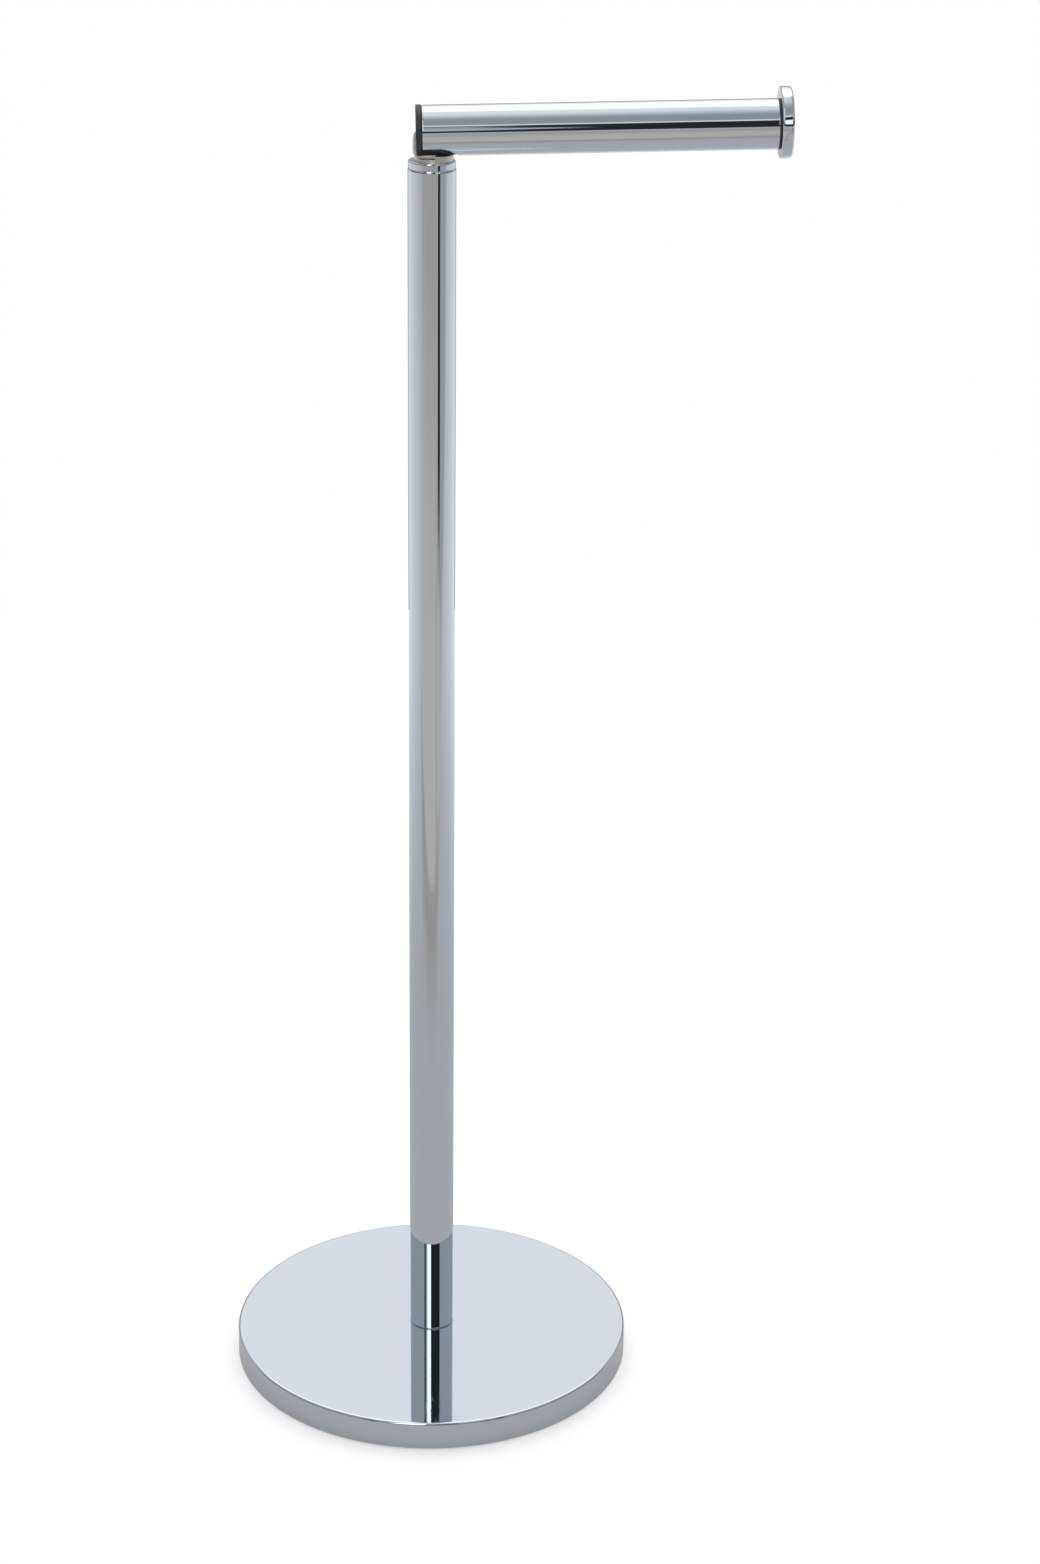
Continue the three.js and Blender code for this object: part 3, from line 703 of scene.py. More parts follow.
def stud_tree():
    """Geometry nodes: rings of studs on a plate, six more in each ring than in the last.

    Ring k ends with stud 3k(k + 1), so a stud's ring comes from the root of 12 times its number
    plus 9.
    """
    tree = bpy.data.node_groups.new("Ringed Studs", "GeometryNodeTree")
    for label, kind in (("Geometry", "Geometry"), ("Stud Count", "Int"),
                        ("Ring Spacing", "Float"), ("Stud Radius", "Float"),
                        ("Stud Height", "Float"), ("Finish", "Material")):
        tree.interface.new_socket(label, in_out="INPUT", socket_type="NodeSocket" + kind)
    tree.interface.new_socket("Geometry", in_out="OUTPUT", socket_type="NodeSocketGeometry")
    given = tree.nodes.new("NodeGroupInput").outputs
    index = put(tree, "GeometryNodeInputIndex").outputs[0]
    root = maths(tree, "SQRT", maths(tree, "MULTIPLY_ADD", index, 12.0, 9.0))
    ring = maths(tree, "CEIL", maths(tree, "DIVIDE", maths(tree, "SUBTRACT", root,
                                                            3.0 + ROUNDING), 6.0))
    before = times(tree, ring, 3.0, maths(tree, "SUBTRACT", ring, 1.0))
    place = maths(tree, "SUBTRACT", maths(tree, "SUBTRACT", index, before), 1.0)
    count = maths(tree, "MAXIMUM", times(tree, ring, 6.0), 1.0)
    angle = times(tree, maths(tree, "DIVIDE", place, count), math.tau)
    away = times(tree, ring, given["Ring Spacing"])
    spot = vector_of(tree, times(tree, away, maths(tree, "COSINE", angle)),
                     times(tree, away, maths(tree, "SINE", angle)))
    points = put(tree, "GeometryNodePoints", {"Count": given["Stud Count"]})
    points = put(tree, "GeometryNodeSetPosition", {"Geometry": points.outputs[0],
                                                   "Position": spot})
    stud = put(tree, "GeometryNodeMeshCone", {
        "Vertices": STUD_SIDES, "Radius Top": given["Stud Radius"], "Depth": given["Stud Height"],
        "Radius Bottom": times(tree, given["Stud Radius"], STUD_TAPER)})
    studs = put(tree, "GeometryNodeInstanceOnPoints", {"Points": points.outputs[0],
                                                       "Instance": stud.outputs["Mesh"]})
    joined = put(tree, "GeometryNodeJoinGeometry", {0: studs.outputs[0]})
    tree.links.new(given["Geometry"], joined.inputs[0])
    real = put(tree, "GeometryNodeRealizeInstances", {"Geometry": joined.outputs[0]})
    ready = put(tree, "GeometryNodeSetMaterial", {"Geometry": real.outputs[0],
                                                  "Material": given["Finish"]})
    put(tree, "NodeGroupOutput", {0: ready.outputs[0]})
    return tree


def fill_inputs(modifier, values):
    """Sets a modifier's inputs by the identifiers of their sockets."""
    for item in modifier.node_group.interface.items_tree:
        if item.item_type == "SOCKET" and item.in_out == "INPUT" and item.name in values:
            modifier[item.identifier] = values[item.name]


# Operators

class HOLDER_OT_finishes(bpy.types.Operator):
    """Make the finishes and dress the hidden CAD parts in them."""
    bl_idname = "holder.finishes"
    bl_label = "Finishes"

    CAST = ("base_weight",)
    PLATED = ("base_bolt", "base_spring_washer", "base_flat_washer", "post_bottom_plug",
              "knuckle_lock_washer", "knuckle_screw", "hinge_pin", "end_cap_stud")

    def execute(self, context):
        look = context.scene.holder_finishes
        for group in (handled_polish, drawn_wave, moulded_grain, lathe_rings):
            group()
        chrome("Chrome Base", look, smudge_scale=15.0)
        chrome("Chrome Post", look, (0.0, 0.0, 0.0))
        chrome("Chrome Arm", look, (0.0, math.pi / 2, 0.0))
        chrome("Chrome Disc", look, smudge_scale=60.0)
        satin_metal(look, context.scene.holder_knuckle.centre)
        moulding("Black Moulding", look.moulding, look.moulding_gloss, grain=2600.0,
                 depth=0.006 * MM)
        moulding("Black Rubber", look.rubber, gloss=0.85, grain=1500.0, depth=0.02 * MM)
        moulding("Cast Iron", look.iron, gloss=0.72, grain=900.0, depth=0.05 * MM, dark=0.75,
                 metallic=0.5)
        plated_steel(look)
        for finish, nodes in (("Cast Iron", self.CAST), ("Plated Steel", self.PLATED)):
            for node in nodes:
                dressed(frame["nodes"][node], finish)
        return {"FINISHED"}


class HOLDER_OT_base_cover(bpy.types.Operator):
    """Make the polished cover of the base."""
    bl_idname = "holder.base_cover"
    bl_label = "Base Cover"

    def execute(self, context):
        size = context.scene.holder_base
        lip, inner = size.sheet / 2, size.fillet - size.sheet
        cover = piece("cover_shell", turned([
            *arc(size.radius - lip, size.lip + lip, lip, -180, 0),
            *top_round(size.radius, size.top, size.fillet, ROUND_STEPS * 2),
            (size.bolt_hole, size.top), (size.bolt_hole, size.top - size.sheet),
            *arc(size.radius - size.fillet, size.top - size.fillet, inner, 90, 0),
        ], closed=True))
        finished(cover, "Chrome Base", "stand", "chrome", "base_cover")
        return {"FINISHED"}


class HOLDER_OT_base_pad(bpy.types.Operator):
    """Make the pad under the base, with rings of studs on its underside."""
    bl_idname = "holder.base_pad"
    bl_label = "Base Pad"

    def execute(self, context):
        size = context.scene.holder_base
        soft = (size.pad_top - size.pad_skin) / 3
        pad = piece("pad_sole", turned([
            (0.0, size.pad_skin), *foot_round(size.pad_radius, size.pad_skin, soft),
            *top_round(size.pad_radius, size.pad_top, soft), (0.0, size.pad_top)]))
        change = pad.modifiers.new("studs", "NODES")
        change.node_group = stud_tree()
        fill_inputs(change, {
            "Stud Count": 3 * size.stud_rings * (size.stud_rings + 1) + 1,
            "Ring Spacing": size.stud_spacing, "Stud Radius": size.stud_radius,
            "Stud Height": size.pad_skin + STUD_SINK, "Finish": material("Black Rubber")})
        applied(pad)
        finished(pad, "Black Rubber", "stand", "black_rubber", "base_pad")
        return {"FINISHED"}


class HOLDER_OT_post(bpy.types.Operator):
    """Make the post tube and the cap in its head."""
    bl_idname = "holder.post"
    bl_label = "Post"

    def execute(self, context):
        size = context.scene.holder_post
        bore = size.radius - size.wall
        post = piece("post_pipe", turned([
            (bore, size.foot), *foot_round(size.radius, size.foot, size.foot_seam),
            *rolled_edge(size.radius, size.head, size.roll, size.roll_turn, size.seam),
            (bore, size.head)], closed=True))
        finished(post, "Chrome Post", "stand", "chrome", "post_tube")
        chamfer, web = size.spigot_chamfer, size.rim_top - size.web
        rim = piece("cap_rim", turned([
            (size.pocket_radius, size.spigot_foot),
            (size.spigot_radius - chamfer, size.spigot_foot),
            (size.spigot_radius, size.spigot_foot + chamfer), (size.spigot_radius, size.head),
            *foot_round(size.rim_radius, size.head, size.seam),
            *rolled_edge(size.rim_radius, size.rim_top, size.roll / 2, size.roll_turn,
                         size.rim_fillet),
            (size.screw_hole, size.rim_top), (size.screw_hole, web), (size.pocket_radius, web),
        ], closed=True))
        finished(rim, "Chrome Post", "stand", "chrome", "post_top_cap")
        return {"FINISHED"}


class HOLDER_OT_knuckle(bpy.types.Operator):
    """Make the knuckle: a turned foot with a rest land, and the tongue."""
    bl_idname = "holder.knuckle"
    bl_label = "Knuckle"

    def foot(self, size, floor, height):
        """The turned foot, up to a height."""
        top = floor + height
        form = turned([(0.0, floor), (size.foot_radius, floor),
                       *top_round(size.foot_radius, top, size.foot_fillet), (0.0, top)])
        return moved(form, Matrix.Translation((size.centre, 0, 0)))

    def blank(self, size, floor, head):
        """The turned bar that the tongue is milled from."""
        shoulder = floor + size.shoulder_height
        form = turned([
            (0.0, floor), (size.foot_radius, floor),
            (size.foot_radius, shoulder - (size.shoulder_radius - size.foot_radius)),
            (size.shoulder_radius, shoulder), (size.shoulder_radius, head), (0.0, head)])
        return moved(form, Matrix.Translation((size.centre, 0, 0)))

    def tongue(self, size, floor):
        """The side outline of the tongue: two flanks, a round head, a flared root."""
        radius, fillet = size.tongue_radius, size.root_fillet
        root, land = pin_point.x + radius + fillet, floor + size.land_height
        return plate([
            (pin_point.x - radius, floor), (root, floor),
            *arc(root, land + fillet, fillet, -90, -180),
            *arc(pin_point.x, pin_point.z, radius, 0, 180, SMALL_STEPS)], size.tongue_width)

    def execute(self, context):
        size = context.scene.holder_knuckle
        floor = context.scene.holder_post.rim_top
        head = pin_point.z + size.tongue_radius + CUT_OVERRUN
        under, reach = floor - CUT_OVERRUN, size.foot_radius * 2
        made = piece("knuckle_body", self.tongue(size, floor))
        worked(made, self.blank(size, floor, head), "INTERSECT")
        land = piece("land", self.foot(size, floor, size.land_height))
        worked(land, block(size.land_start, size.land_start + reach, under, head, reach * 2),
               "INTERSECT")
        worked(made, shape_of(land), "UNION")
        worked(made, self.foot(size, floor, size.foot_height), "UNION")
        bore = moved(rod(size.pin_bore, -reach, reach),
                     Matrix.Translation(pin_point) @ ACROSS_ARM)
        worked(made, bore, "DIFFERENCE")
        worked(made, rod(size.screw_bore, under, floor + size.screw_depth), "DIFFERENCE")
        edges_broken(made, size.edge)
        finished(made, "Satin Metal", "stand", "satin_metal", "knuckle")
        return {"FINISHED"}


class HOLDER_OT_hinge_insert(bpy.types.Operator):
    """Make the black insert of the hinge end and the washers in its slot."""
    bl_idname = "holder.hinge_insert"
    bl_label = "Hinge Insert"

    def blank(self, size):
        """The turned flange and body."""
        flange = size.radius + size.flange_proud
        body = size.radius - size.wall - size.fit
        start, end = size.start - size.flange, size.start + size.insert_length
        return moved(turned([
            (0.0, start), *foot_round(flange, start, size.flange_fillet), (flange, size.start),
            (body, size.start), (body, end - size.insert_chamfer),
            (body - size.insert_chamfer, end), (size.core_radius, end),
            (size.core_radius, end - size.core_depth), (0.0, end - size.core_depth),
        ]), tube_line(size))

    def belly(self, size):
        """What fills the notch, drawn in from its sides by a gap."""
        start, roof = size.start - size.fit, size.axis - size.radius + size.notch - size.gap
        below = size.axis - size.radius - CUT_OVERRUN
        flat = size.start + size.notch_flat
        ramp = size.notch_ramp + CUT_OVERRUN * (size.notch_ramp / size.notch)
        outline = [(start, below), (flat + ramp - size.gap, below), (flat - size.gap, roof),
                   (start, roof)]
        end = size.start + size.insert_length - size.insert_chamfer
        made = piece("belly", moved(rod(size.radius, start, end, RING_STEPS), tube_line(size)))
        return shape_of(worked(made, plate(outline, size.radius * 3), "INTERSECT"))

    def rest_cut(self, size, floor, swing):
        """What goes from under the belly, outside the swing round, to come down level."""
        plane, deep = floor + size.gap - pin_point.z, size.radius * 2
        end = size.start + size.notch_flat + size.notch_ramp
        cut = block(size.start - size.flange, end, plane - size.radius, plane, deep)
        cut = piece("cut", moved(cut, Matrix.Rotation(size.tilt, 4, "Y")))
        kept = moved(rod(swing, -deep, deep, RING_STEPS), ACROSS_ARM)
        return shape_of(worked(cut, kept, "DIFFERENCE"))

    def relief(self, size, swing, outside, reach):
        """What goes from the flange's foot, so that it swings clear of the knuckle's foot."""
        form = plate([(0.0, -reach), (outside, -reach), (outside, 0.0),
                      *arc(0.0, 0.0, swing, 180, 270, SMALL_STEPS)], reach * 2)
        bmesh.ops.recalc_face_normals(form, faces=form.faces)
        return form

    def washer(self, size, knuckle, name, node):
        """One thin washer between tongue and cheek, where its CAD node is."""
        half = size.washer_thickness / 2
        low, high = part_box(node)
        form = turned([(knuckle.pin_bore, -half),
                       *foot_round(size.washer_radius, -half, half / 2, FINE_ROUND_STEPS),
                       *top_round(size.washer_radius, half, half / 2, FINE_ROUND_STEPS),
                       (knuckle.pin_bore, half)], SMALL_STEPS, closed=True)
        moved(form, Matrix.Translation((0, (low.y + high.y) / 2, 0)) @ ACROSS_ARM)
        washer = piece(name, form)
        washer.data.transform(arm_place(size))
        finished(washer, "Black Moulding", "arm", "black_plastic", node)

    def execute(self, context):
        size, knuckle = context.scene.holder_arm, context.scene.holder_knuckle
        floor = context.scene.holder_post.rim_top
        swing = pin_point.z - floor - knuckle.foot_height - size.gap
        outside, reach = size.start - size.flange - CUT_OVERRUN, size.radius * 2
        made = piece("insert_moulding", self.blank(size))
        worked(made, self.belly(size), "UNION")
        worked(made, self.rest_cut(size, floor + knuckle.land_height, swing), "DIFFERENCE")
        worked(made, block(outside, size.slot_reach, -reach, size.slot_reach, size.slot_width),
               "DIFFERENCE")
        worked(made, moved(rod(knuckle.pin_bore, -reach, reach), ACROSS_ARM), "DIFFERENCE")
        worked(made, self.relief(size, swing, outside, reach), "DIFFERENCE")
        edges_broken(made, size.insert_edge)
        made.data.transform(arm_place(size))
        finished(made, "Black Moulding", "arm", "black_plastic", "hinge_insert")
        self.washer(size, knuckle, "washer_front", "hinge_washer_front")
        self.washer(size, knuckle, "washer_back", "hinge_washer_back")
        return {"FINISHED"}


class HOLDER_OT_arm_tube(bpy.types.Operator):
    """Make the arm tube with its notch, all in quads that follow the notch."""
    bl_idname = "holder.arm_tube"
    bl_label = "Arm Tube"

    NOTCH_STEPS = 64
    UPPER_STEPS = 160
    EDGE_STEPS = 6

    def edge_round(self, place, size, ahead):
        """Points along a rounded end: how far along the tube, and how far in from its skin."""
        points = []
        for step in range(self.EDGE_STEPS + 1):
            angle = math.pi / 2 * step / self.EDGE_STEPS
            points.append((place + ahead * size * (1 - math.sin(angle)),
                           size * (1 - math.cos(angle))))
        return [*points, (place + ahead * (size + SUPPORT), 0.0)]

    def skin(self, form, size, radius, rounds):
        """One skin of the tube: rows of vertices above and in the notch's sector."""
        roof = size.notch - size.radius
        edge = math.acos(-roof / radius)
        flat, end = size.start + size.notch_flat, size.start + size.reach
        clear = flat + size.notch_ramp + size.notch
        head = sorted(self.edge_round(size.start, rounds[0], 1))
        tail = [(clear, 0.0), *sorted(self.edge_round(end, rounds[1], -1))]
        rows = []
        for step in range(self.NOTCH_STEPS + self.UPPER_STEPS):
            if step <= self.NOTCH_STEPS:
                angle = edge * (2 * step / self.NOTCH_STEPS - 1)
                height = -radius * math.cos(angle)
                first = flat + size.notch_ramp * (roof - height) / size.notch
            else:
                past = (step - self.NOTCH_STEPS) / self.UPPER_STEPS
                angle = edge + (math.tau - 2 * edge) * past
                first = flat
            places = [(first, 0.0), *tail]
            if not 0 < step < self.NOTCH_STEPS:
                places = head + places
            rows.append([form.verts.new((x, (radius - inset) * math.sin(angle),
                                         size.axis - (radius - inset) * math.cos(angle)))
                         for x, inset in places])
        return rows

    def execute(self, context):
        size = context.scene.holder_arm
        form = bmesh.new()
        outer = self.skin(form, size, size.radius, (size.hinge_round, size.free_round))
        inner = self.skin(form, size, size.radius - size.wall, (0.0, 0.0))
        count = len(outer)
        reach = min(len(row) for row in outer)
        for step in range(count):
            after = (step + 1) % count
            first = -reach if step < self.NOTCH_STEPS else 0
            for rows, way in ((outer, 1), (inner, -1)):
                one, two = rows[step][first:], rows[after][first:]
                for at in range(len(one) - 1):
                    form.faces.new((one[at], one[at + 1], two[at + 1], two[at])[::way])
            a, b, c, d = outer[step], outer[after], inner[step], inner[after]
            form.faces.new((a[-1], c[-1], d[-1], b[-1]))
            form.faces.new((a[first], b[first], d[first], c[first]))
        for step in (0, self.NOTCH_STEPS):
            skin, bore = outer[step], inner[step]
            for at in range(len(skin) - reach):
                form.faces.new((skin[at], skin[at + 1], bore[at + 1], bore[at]))
        bmesh.ops.recalc_face_normals(form, faces=form.faces)
        made = piece("arm_pipe", moved(form, arm_place(size)))
        finished(made, "Chrome Arm", "arm", "chrome", "arm_tube")
        return {"FINISHED"}


class HOLDER_OT_arm_end(bpy.types.Operator):
    """Make the plug and the disc at the arm's free end."""
    bl_idname = "holder.arm_end"
    bl_label = "Arm End"

    def execute(self, context):
        size = context.scene.holder_arm
        seam, bore = size.start + size.reach, size.stud_radius + size.fit
        body = size.radius - size.wall - size.fit
        foot, chamfer, soft = seam - size.plug_length, size.insert_chamfer, size.plug_edge
        start = seam + size.plug_flange
        plug = turned([
            (bore, foot), (body - chamfer, foot), (body, foot + chamfer), (body, seam),
            *foot_round(size.radius, seam, soft, FINE_ROUND_STEPS),
            *top_round(size.radius, start, soft, FINE_ROUND_STEPS),
            (bore, start)], closed=True)
        made = piece("plug_ring", moved(plug, arm_place(size) @ tube_line(size)))
        finished(made, "Black Moulding", "arm", "black_plastic", "end_plug")
        end = start + size.disc_thickness
        crown = math.asin((size.disc_thickness - size.disc_inner - size.disc_outer)
                          / (size.disc_crown - size.disc_outer))
        disc = piece("end_disc", moved(turned([
            (0.0, start), *foot_round(size.disc_radius, start, size.disc_inner)[:-1],
            *rolled_edge(size.disc_radius, end, size.disc_crown, crown, size.disc_outer),
            (0.0, end)]), tube_line(size, size.disc_rise)))
        stud = rod(bore, start - CUT_OVERRUN, start + size.disc_bore)
        worked(disc, moved(stud, tube_line(size)), "DIFFERENCE")
        disc.data.transform(arm_place(size))
        finished(disc, "Chrome Disc", "arm", "chrome", "end_cap")
        return {"FINISHED"}


# Studio

STUDIO_HEAD = 0.62
SCREEN_LIFT = 0.6 * MM
DARK = (0.85, 0.93, 1.0)
COOL = (0.93, 0.98, 1.0)
COOL_BACK = (0.92, 0.97, 1.0)
NEUTRAL = (1.0, 1.0, 1.0)


def glow(name, shade, strength):
    """A studio screen's own light, faded by the mesh's attribute."""
    made = bpy.data.materials.new(name)
    tree = cleared(made)
    light = put(tree, "ShaderNodeEmission", {"Color": opaque(shade), "Strength": strength})
    clear = put(tree, "ShaderNodeBsdfTransparent")
    fade = put(tree, "ShaderNodeAttribute", attribute_name="fade").outputs["Fac"]
    mix = put(tree, "ShaderNodeMixShader", {0: fade, 1: clear.outputs[0], 2: light.outputs[0]})
    put(tree, "ShaderNodeOutputMaterial", {"Surface": mix.outputs[0]})
    return made


def soft_step(value):
    """A smooth step from nought to one."""
    value = min(1.0, max(0.0, value))
    return value * value * (3 - 2 * value)


def screen(name, shade, strength, spot, sideways, upright, fades=(0.0, 0.0, 0.0, 0.0),
           steps=(48, 32)):
    """A studio screen that only reflections see.

    spot gives a point for a share sideways and upright; fades are the shares of the sides that
    fade: left, right, low and high.
    """
    form = bmesh.new()
    grid = []
    values = []
    for row in range(steps[1] + 1):
        v = row / steps[1]
        height = upright[0] + (upright[1] - upright[0]) * v
        line = []
        for column in range(steps[0] + 1):
            u = column / steps[0]
            side = sideways[0] + (sideways[1] - sideways[0]) * u
            line.append(form.verts.new(spot(side, height)))
            value = 1.0
            for near, width in zip((u, 1 - u, v, 1 - v), fades):
                value *= soft_step(near / width) if width else 1.0
            values.append(value)
        grid.append(line)
    for low, high in zip(grid, grid[1:]):
        for at in range(steps[0]):
            form.faces.new((low[at], low[at + 1], high[at + 1], high[at]))
    made = piece(name, form)
    layer = made.data.attributes.new("fade", "FLOAT", "POINT")
    layer.data.foreach_set("value", values)
    made.data.materials.append(glow(name, shade, strength))
    for kind in ("camera", "diffuse", "shadow", "volume_scatter"):
        setattr(made, f"visible_{kind}", False)


def wall(distance):
    """Points of a screen that stands at a distance, by azimuth from the camera and height."""
    def spot(azimuth, height):
        angle = math.radians(azimuth)
        return (distance * math.sin(angle), -distance * math.cos(angle), height)
    return spot


def dome(distance):
    """Points of a screen on a dome about the post's head, by azimuth and elevation."""
    def spot(azimuth, elevation):
        angle, rise = math.radians(azimuth), math.radians(elevation)
        return (distance * math.sin(angle) * math.cos(rise),
                -distance * math.cos(angle) * math.cos(rise),
                STUDIO_HEAD + distance * math.sin(rise))
    return spot


def ground(distance):
    """Points of a screen on the floor, by azimuth and by how often the distance goes in."""
    def spot(azimuth, reach):
        return (distance * reach * math.tan(math.radians(azimuth)), -distance * reach,
                SCREEN_LIFT * reach)
    return spot


class HOLDER_OT_studio(bpy.types.Operator):
    """Make the floor, the soft light, the screens that the metal shows, and the camera."""
    bl_idname = "holder.studio"
    bl_label = "Studio"

    FLOOR_RADIUS = 7.0
    FLOOR_DEPTH = 4 * MM
    FLOOR_STEPS = 96
    WHITE_FROM, WHITE_TO = 0.35, 1.3
    FOOT_POINT = 0.01
    LAMP_SIZE = (2.2, 1.8)
    LAMP_PLACE = (0.1, 0.9, 2.4)
    LAMP_TILT = math.radians(-16)
    CLIP_NEAR, CLIP_FAR = 0.01, 50.0

    def floor(self, studio):
        """A pale floor: it takes the shadow near the stand and is white ground further off. In
        reflections it also glows with painted light, stronger far off and towards the back.
        """
        made = piece("floor", rod(self.FLOOR_RADIUS, -self.FLOOR_DEPTH, 0.0, self.FLOOR_STEPS))
        finish = bpy.data.materials.new("Floor")
        tree = cleared(finish)
        place = put(tree, "ShaderNodeTexCoord").outputs["Object"]
        rays = put(tree, "ShaderNodeLightPath").outputs
        seen = rays["Is Camera Ray"]
        mirrored = maths(tree, "ADD", rays["Is Glossy Ray"], rays["Is Transmission Ray"],
                         clamp=True)
        away = put(tree, "ShaderNodeVectorMath", {0: place}, operation="LENGTH").outputs["Value"]
        far = ranged(tree, away, self.WHITE_FROM, self.WHITE_TO)
        across = put(tree, "ShaderNodeSeparateXYZ", {0: place}).outputs[1]
        side = maths(tree, "DIVIDE", across, maths(tree, "MAXIMUM", away,
                                                          self.FOOT_POINT))
        # Painted light: the floor that the metal reflects glows brighter far off and towards the
        # back, as if a lamp lit it from behind
        painted_back_light = times(tree, far, ranged(tree, side, -0.8, 1.0, 0.2, 1.2, "LINEAR"))
        painted_light_in_metal = times(tree, times(tree, mirrored, painted_back_light), studio.painted_ground_light)
        even = maths(tree, "MULTIPLY_ADD", mirrored, studio.even_ground, painted_light_in_metal)
        white = ranged(tree, far, 0.0, 1.0, studio.floor_lift, 1.0, "LINEAR")
        strength = maths(tree, "MULTIPLY_ADD", seen, white, even)
        tone = mixed(tree, ranged(tree, noise(tree, place, 900.0), 0.3, 0.7),
                     opaque(studio.floor), opaque(studio.floor, 0.985))
        lit = maths(tree, "SUBTRACT", 1.0, times(tree, seen, far))
        lit = maths(tree, "MULTIPLY_ADD", mirrored, -studio.even_ground * 2, lit)
        pale = put(tree, "ShaderNodeBsdfDiffuse", {"Color": mixed(tree, lit, BLACK, tone)})
        glowing = put(tree, "ShaderNodeEmission", {"Color": WHITE, "Strength": strength})
        both = put(tree, "ShaderNodeAddShader", {0: pale.outputs[0], 1: glowing.outputs[0]})
        put(tree, "ShaderNodeOutputMaterial", {"Surface": both.outputs[0]})
        made.data.materials.append(finish)

    def world(self, scene, studio):
        """White ground for the camera and for metal, soft light for everything else."""
        scene.world = bpy.data.worlds.new("Studio")
        tree = cleared(scene.world)
        rays = put(tree, "ShaderNodeLightPath").outputs
        seen = maths(tree, "ADD", maths(tree, "ADD", rays["Is Camera Ray"],
                                        rays["Is Glossy Ray"]),
                     rays["Is Transmission Ray"], clamp=True)
        level = ranged(tree, seen, 0.0, 1.0, studio.soft_light, 1.0, "LINEAR")
        light = put(tree, "ShaderNodeBackground", {"Color": WHITE, "Strength": level})
        put(tree, "ShaderNodeOutputWorld", {"Surface": light.outputs[0]})

    def room(self):
        """The walls and cards all round, which only metal and mouldings reflect."""
        screen("front_wall", (0.915, 0.98, 1.02), 0.388, dome(6.0), (-156, 156), (-12, 89.5),
               (0.05, 0.05, 0.0, 0.37), (96, 64))
        screen("low_wall", (0.93, 0.99, 1.0), 0.52, dome(5.95), (-152, 152), (-12, 32),
               (0.05, 0.05, 0.0, 0.12), (96, 32))
        screen("overhead_box", NEUTRAL, 1.5, dome(5.9), (115, 245), (32, 84),
               (0.15, 0.15, 0.15, 0.15), (64, 48))
        screen("back_strip", COOL_BACK, 0.4, dome(5.9), (125, 235), (-6, 22),
               (0.2, 0.2, 0.0, 0.2))
        screen("back_card", COOL_BACK, 0.42, wall(1.2), (136, 224), (0.003, 0.5),
               (0.3, 0.3, 0.0, 0.3))
        screen("dark_room", DARK, 0.06, dome(5.8), (-118, 118), (-3, 13.5),
               (0.06, 0.06, 0.0, 0.35), (96, 48))

    def lights_and_flags(self):
        """What makes the light and dark lines on post, arm, cap and disc."""
        screen("dark_front", DARK, 0.03, wall(1.0), (-4, 43.5), (0.598, 1.085),
               (0.0, 0.0, 0.02, 0.02))
        screen("dark_flag", DARK, 0.03, wall(3.0), (-8, 43.5), (1.5, 2.1))
        screen("grey_end", COOL, 0.4, wall(0.97), (-4, 4.2), (0.685, 1.06),
               (0.0, 0.42, 0.1, 0.1))
        screen("light_line", COOL, 0.6, wall(0.96), (-4, 7.8), (0.742, 0.88),
               (0.0, 0.35, 0.25, 0.25))
        screen("bright_line", (0.95, 1.0, 1.0), 0.85, wall(0.95), (-4, 34), (1.058, 1.21),
               (0.0, 0.3, 0.2, 0.2))
        screen("bright_gap", NEUTRAL, 1.3, wall(0.95), (15.6, 42), (0.668, 0.935),
               (0.03, 0.2, 0.2, 0.2))
        screen("soft_box", NEUTRAL, 2.1, wall(1.8), (-24, -4.2), (0.75, 3.4),
               (0.05, 0.0, 0.04, 0.1))
        screen("dark_stand", DARK, 0.035, wall(1.1), (27, 40), (0.02, 0.5),
               (0.08, 0.08, 0.32, 0.05))
        screen("dark_post", DARK, 0.02, wall(1.75), (-39.5, -31.5), (0.62, 1.6),
               (0.05, 0.05, 0.05, 0.05))

    def floor_light_cards(self):
        """Cards on the floor that glow with the painted light and shade of a lit floor, seen only
        in reflections; they give the base and the lower sides their warm tone.
        """
        # Painted light and shade of the floor, as the metal reflects it
        screen("painted_floor_light", (1.0, 0.955, 0.88), 0.585, ground(0.6), (-51, 26), (0.92, 4.5),
               (0.03, 0.16, 0.05, 0.83), (64, 48))
        screen("painted_floor_light_far", (1.0, 0.965, 0.91), 0.45, ground(0.64), (-51, 26), (1.0, 6.0),
               (0.03, 0.03, 0.0, 0.0), (64, 24))
        screen("floor_shade", (1.0, 0.985, 0.96), 0.42, ground(0.64), (-58, 40), (0.5, 1.0),
               (0.12, 0.2, 0.7, 0.0), (64, 24))
        screen("near_floor_light", (1.0, 0.9, 0.8), 0.436, ground(0.6), (-54, 46), (0.8, 1.02),
               (0.25, 0.3, 0.5, 0.05), (64, 24))
        screen("side_floor_light", (0.95, 0.98, 1.0), 0.43, ground(0.9), (38, 80), (0.7, 3.5),
               (0.02, 0.5, 0.12, 0.3), (64, 24))

    def lamp(self, scene, studio):
        """The large lamp overhead, which lights the floor and the mouldings."""
        data = bpy.data.lights.new("overhead_lamp", "AREA")
        data.shape, data.energy = "RECTANGLE", studio.lamp_power
        data.size, data.size_y = self.LAMP_SIZE
        made = bpy.data.objects.new("overhead_lamp", data)
        made.location = self.LAMP_PLACE
        made.rotation_euler = (self.LAMP_TILT, 0.0, 0.0)
        made.visible_glossy = made.visible_camera = False
        scene.collection.objects.link(made)

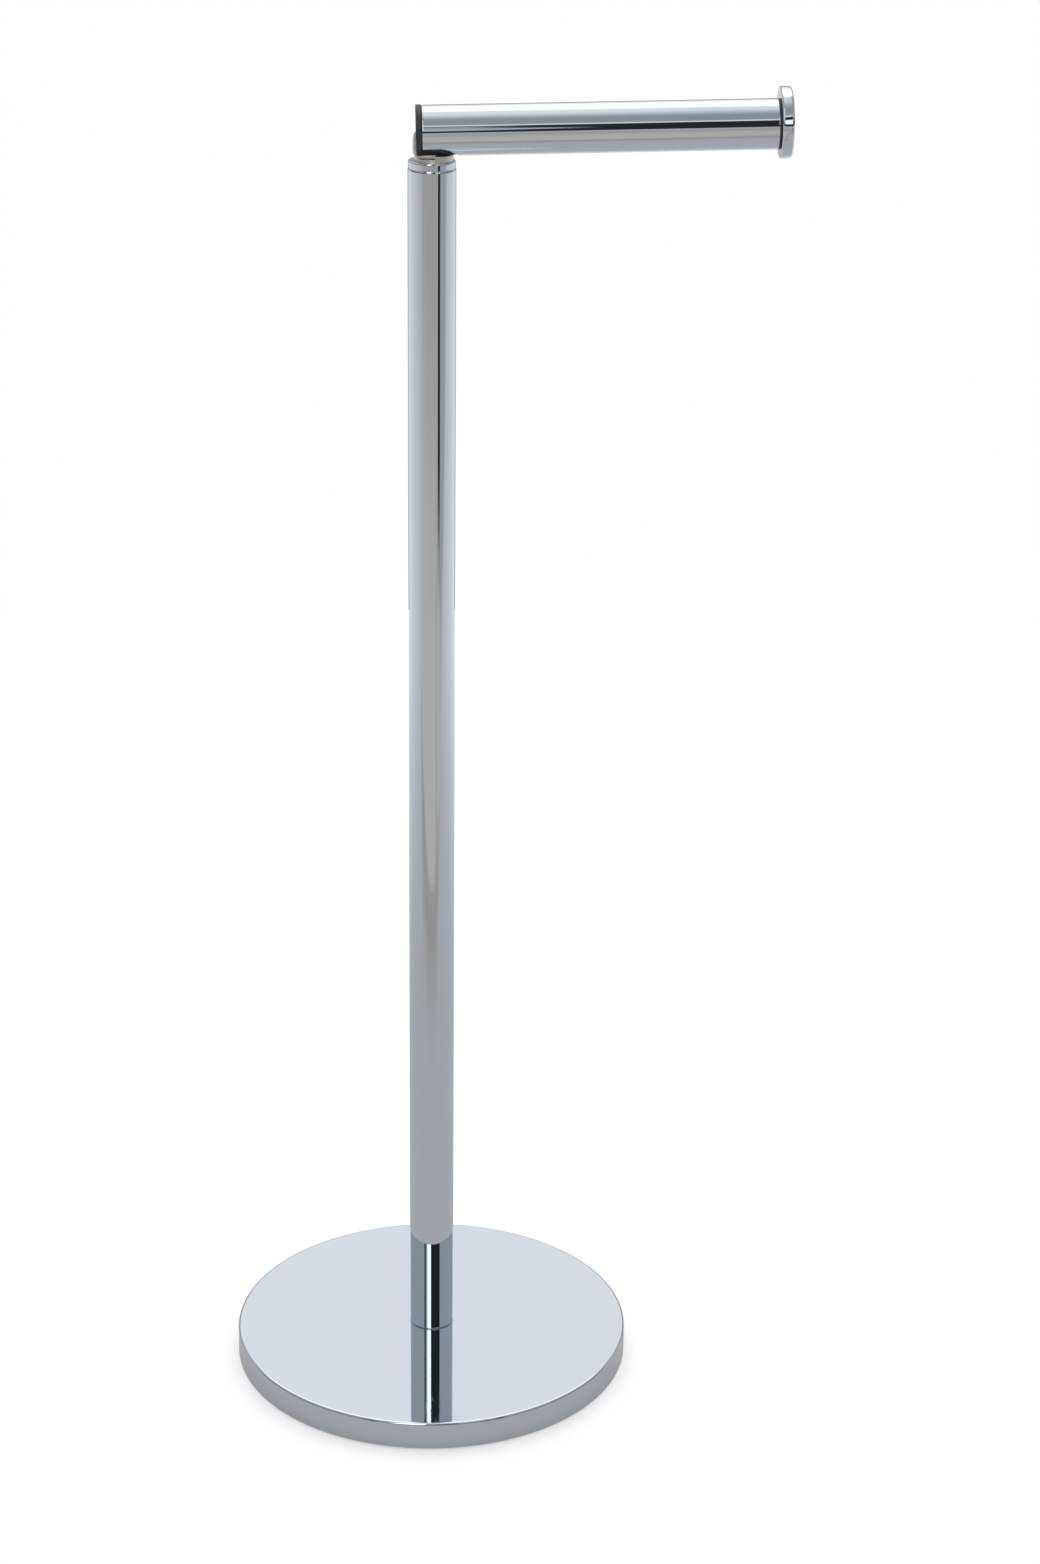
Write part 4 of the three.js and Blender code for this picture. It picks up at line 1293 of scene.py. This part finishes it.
    def camera(self, scene, studio):
        """The camera at the photograph's place."""
        turn, pitch, roll = studio.camera_turn, studio.camera_pitch, studio.camera_roll
        ahead = Vector((math.sin(turn) * math.cos(pitch), math.cos(turn) * math.cos(pitch),
                        -math.sin(pitch)))
        right = Vector((math.cos(turn), -math.sin(turn), 0.0))
        down = ahead.cross(right)
        across = math.cos(roll) * right + math.sin(roll) * down
        lower = math.cos(roll) * down - math.sin(roll) * right
        data = bpy.data.cameras.new("photo_camera")
        data.sensor_width = SENSOR
        data.lens = studio.focal_pixels * SENSOR / PHOTO_HEIGHT
        data.clip_start, data.clip_end = self.CLIP_NEAR, self.CLIP_FAR
        made = bpy.data.objects.new("photo_camera", data)
        scene.collection.objects.link(made)
        rows = Matrix((across, -lower, -ahead)).transposed().to_4x4()
        made.matrix_world = Matrix.Translation(studio.camera_place) @ rows
        scene.camera = made

    def execute(self, context):
        scene, studio = context.scene, context.scene.holder_studio
        scene.view_settings.view_transform = "Standard"
        self.floor(studio)
        self.world(scene, studio)
        self.room()
        self.lights_and_flags()
        # Painted light and shade of the floor, for reflections only
        self.floor_light_cards()
        self.lamp(scene, studio)
        self.camera(scene, studio)
        return {"FINISHED"}


PIECES = (HOLDER_OT_finishes, HOLDER_OT_base_cover, HOLDER_OT_base_pad, HOLDER_OT_post,
          HOLDER_OT_knuckle, HOLDER_OT_hinge_insert, HOLDER_OT_arm_tube, HOLDER_OT_arm_end,
          HOLDER_OT_studio)


class HOLDER_PT_panel(bpy.types.Panel):
    """Lists the pieces of the paper holder."""
    bl_idname = "HOLDER_PT_panel"
    bl_label = "Paper Holder"
    bl_space_type = "VIEW_3D"
    bl_region_type = "UI"
    bl_category = "Paper Holder"

    def draw(self, context):
        for operator in PIECES:
            self.layout.operator(operator.bl_idname)


SETTINGS = {"holder_base": BaseSizes, "holder_post": PostSizes, "holder_knuckle": KnuckleSizes,
            "holder_arm": ArmSizes, "holder_finishes": Finishes, "holder_studio": StudioSettings}


def register():
    for group in SETTINGS.values():
        bpy.utils.register_class(group)
    for name, group in SETTINGS.items():
        setattr(bpy.types.Scene, name, PointerProperty(type=group))
    for part in (*PIECES, HOLDER_PT_panel):
        bpy.utils.register_class(part)


def unregister():
    for part in (HOLDER_PT_panel, *reversed(PIECES)):
        bpy.utils.unregister_class(part)
    for name, group in SETTINGS.items():
        delattr(bpy.types.Scene, name)
        bpy.utils.unregister_class(group)


def main():
    register()
    for operator in (bpy.ops.holder.finishes, bpy.ops.holder.base_cover, bpy.ops.holder.base_pad,
                     bpy.ops.holder.post, bpy.ops.holder.knuckle, bpy.ops.holder.hinge_insert,
                     bpy.ops.holder.arm_tube, bpy.ops.holder.arm_end, bpy.ops.holder.studio):
        operator()


if __name__ == "__main__":
    main()
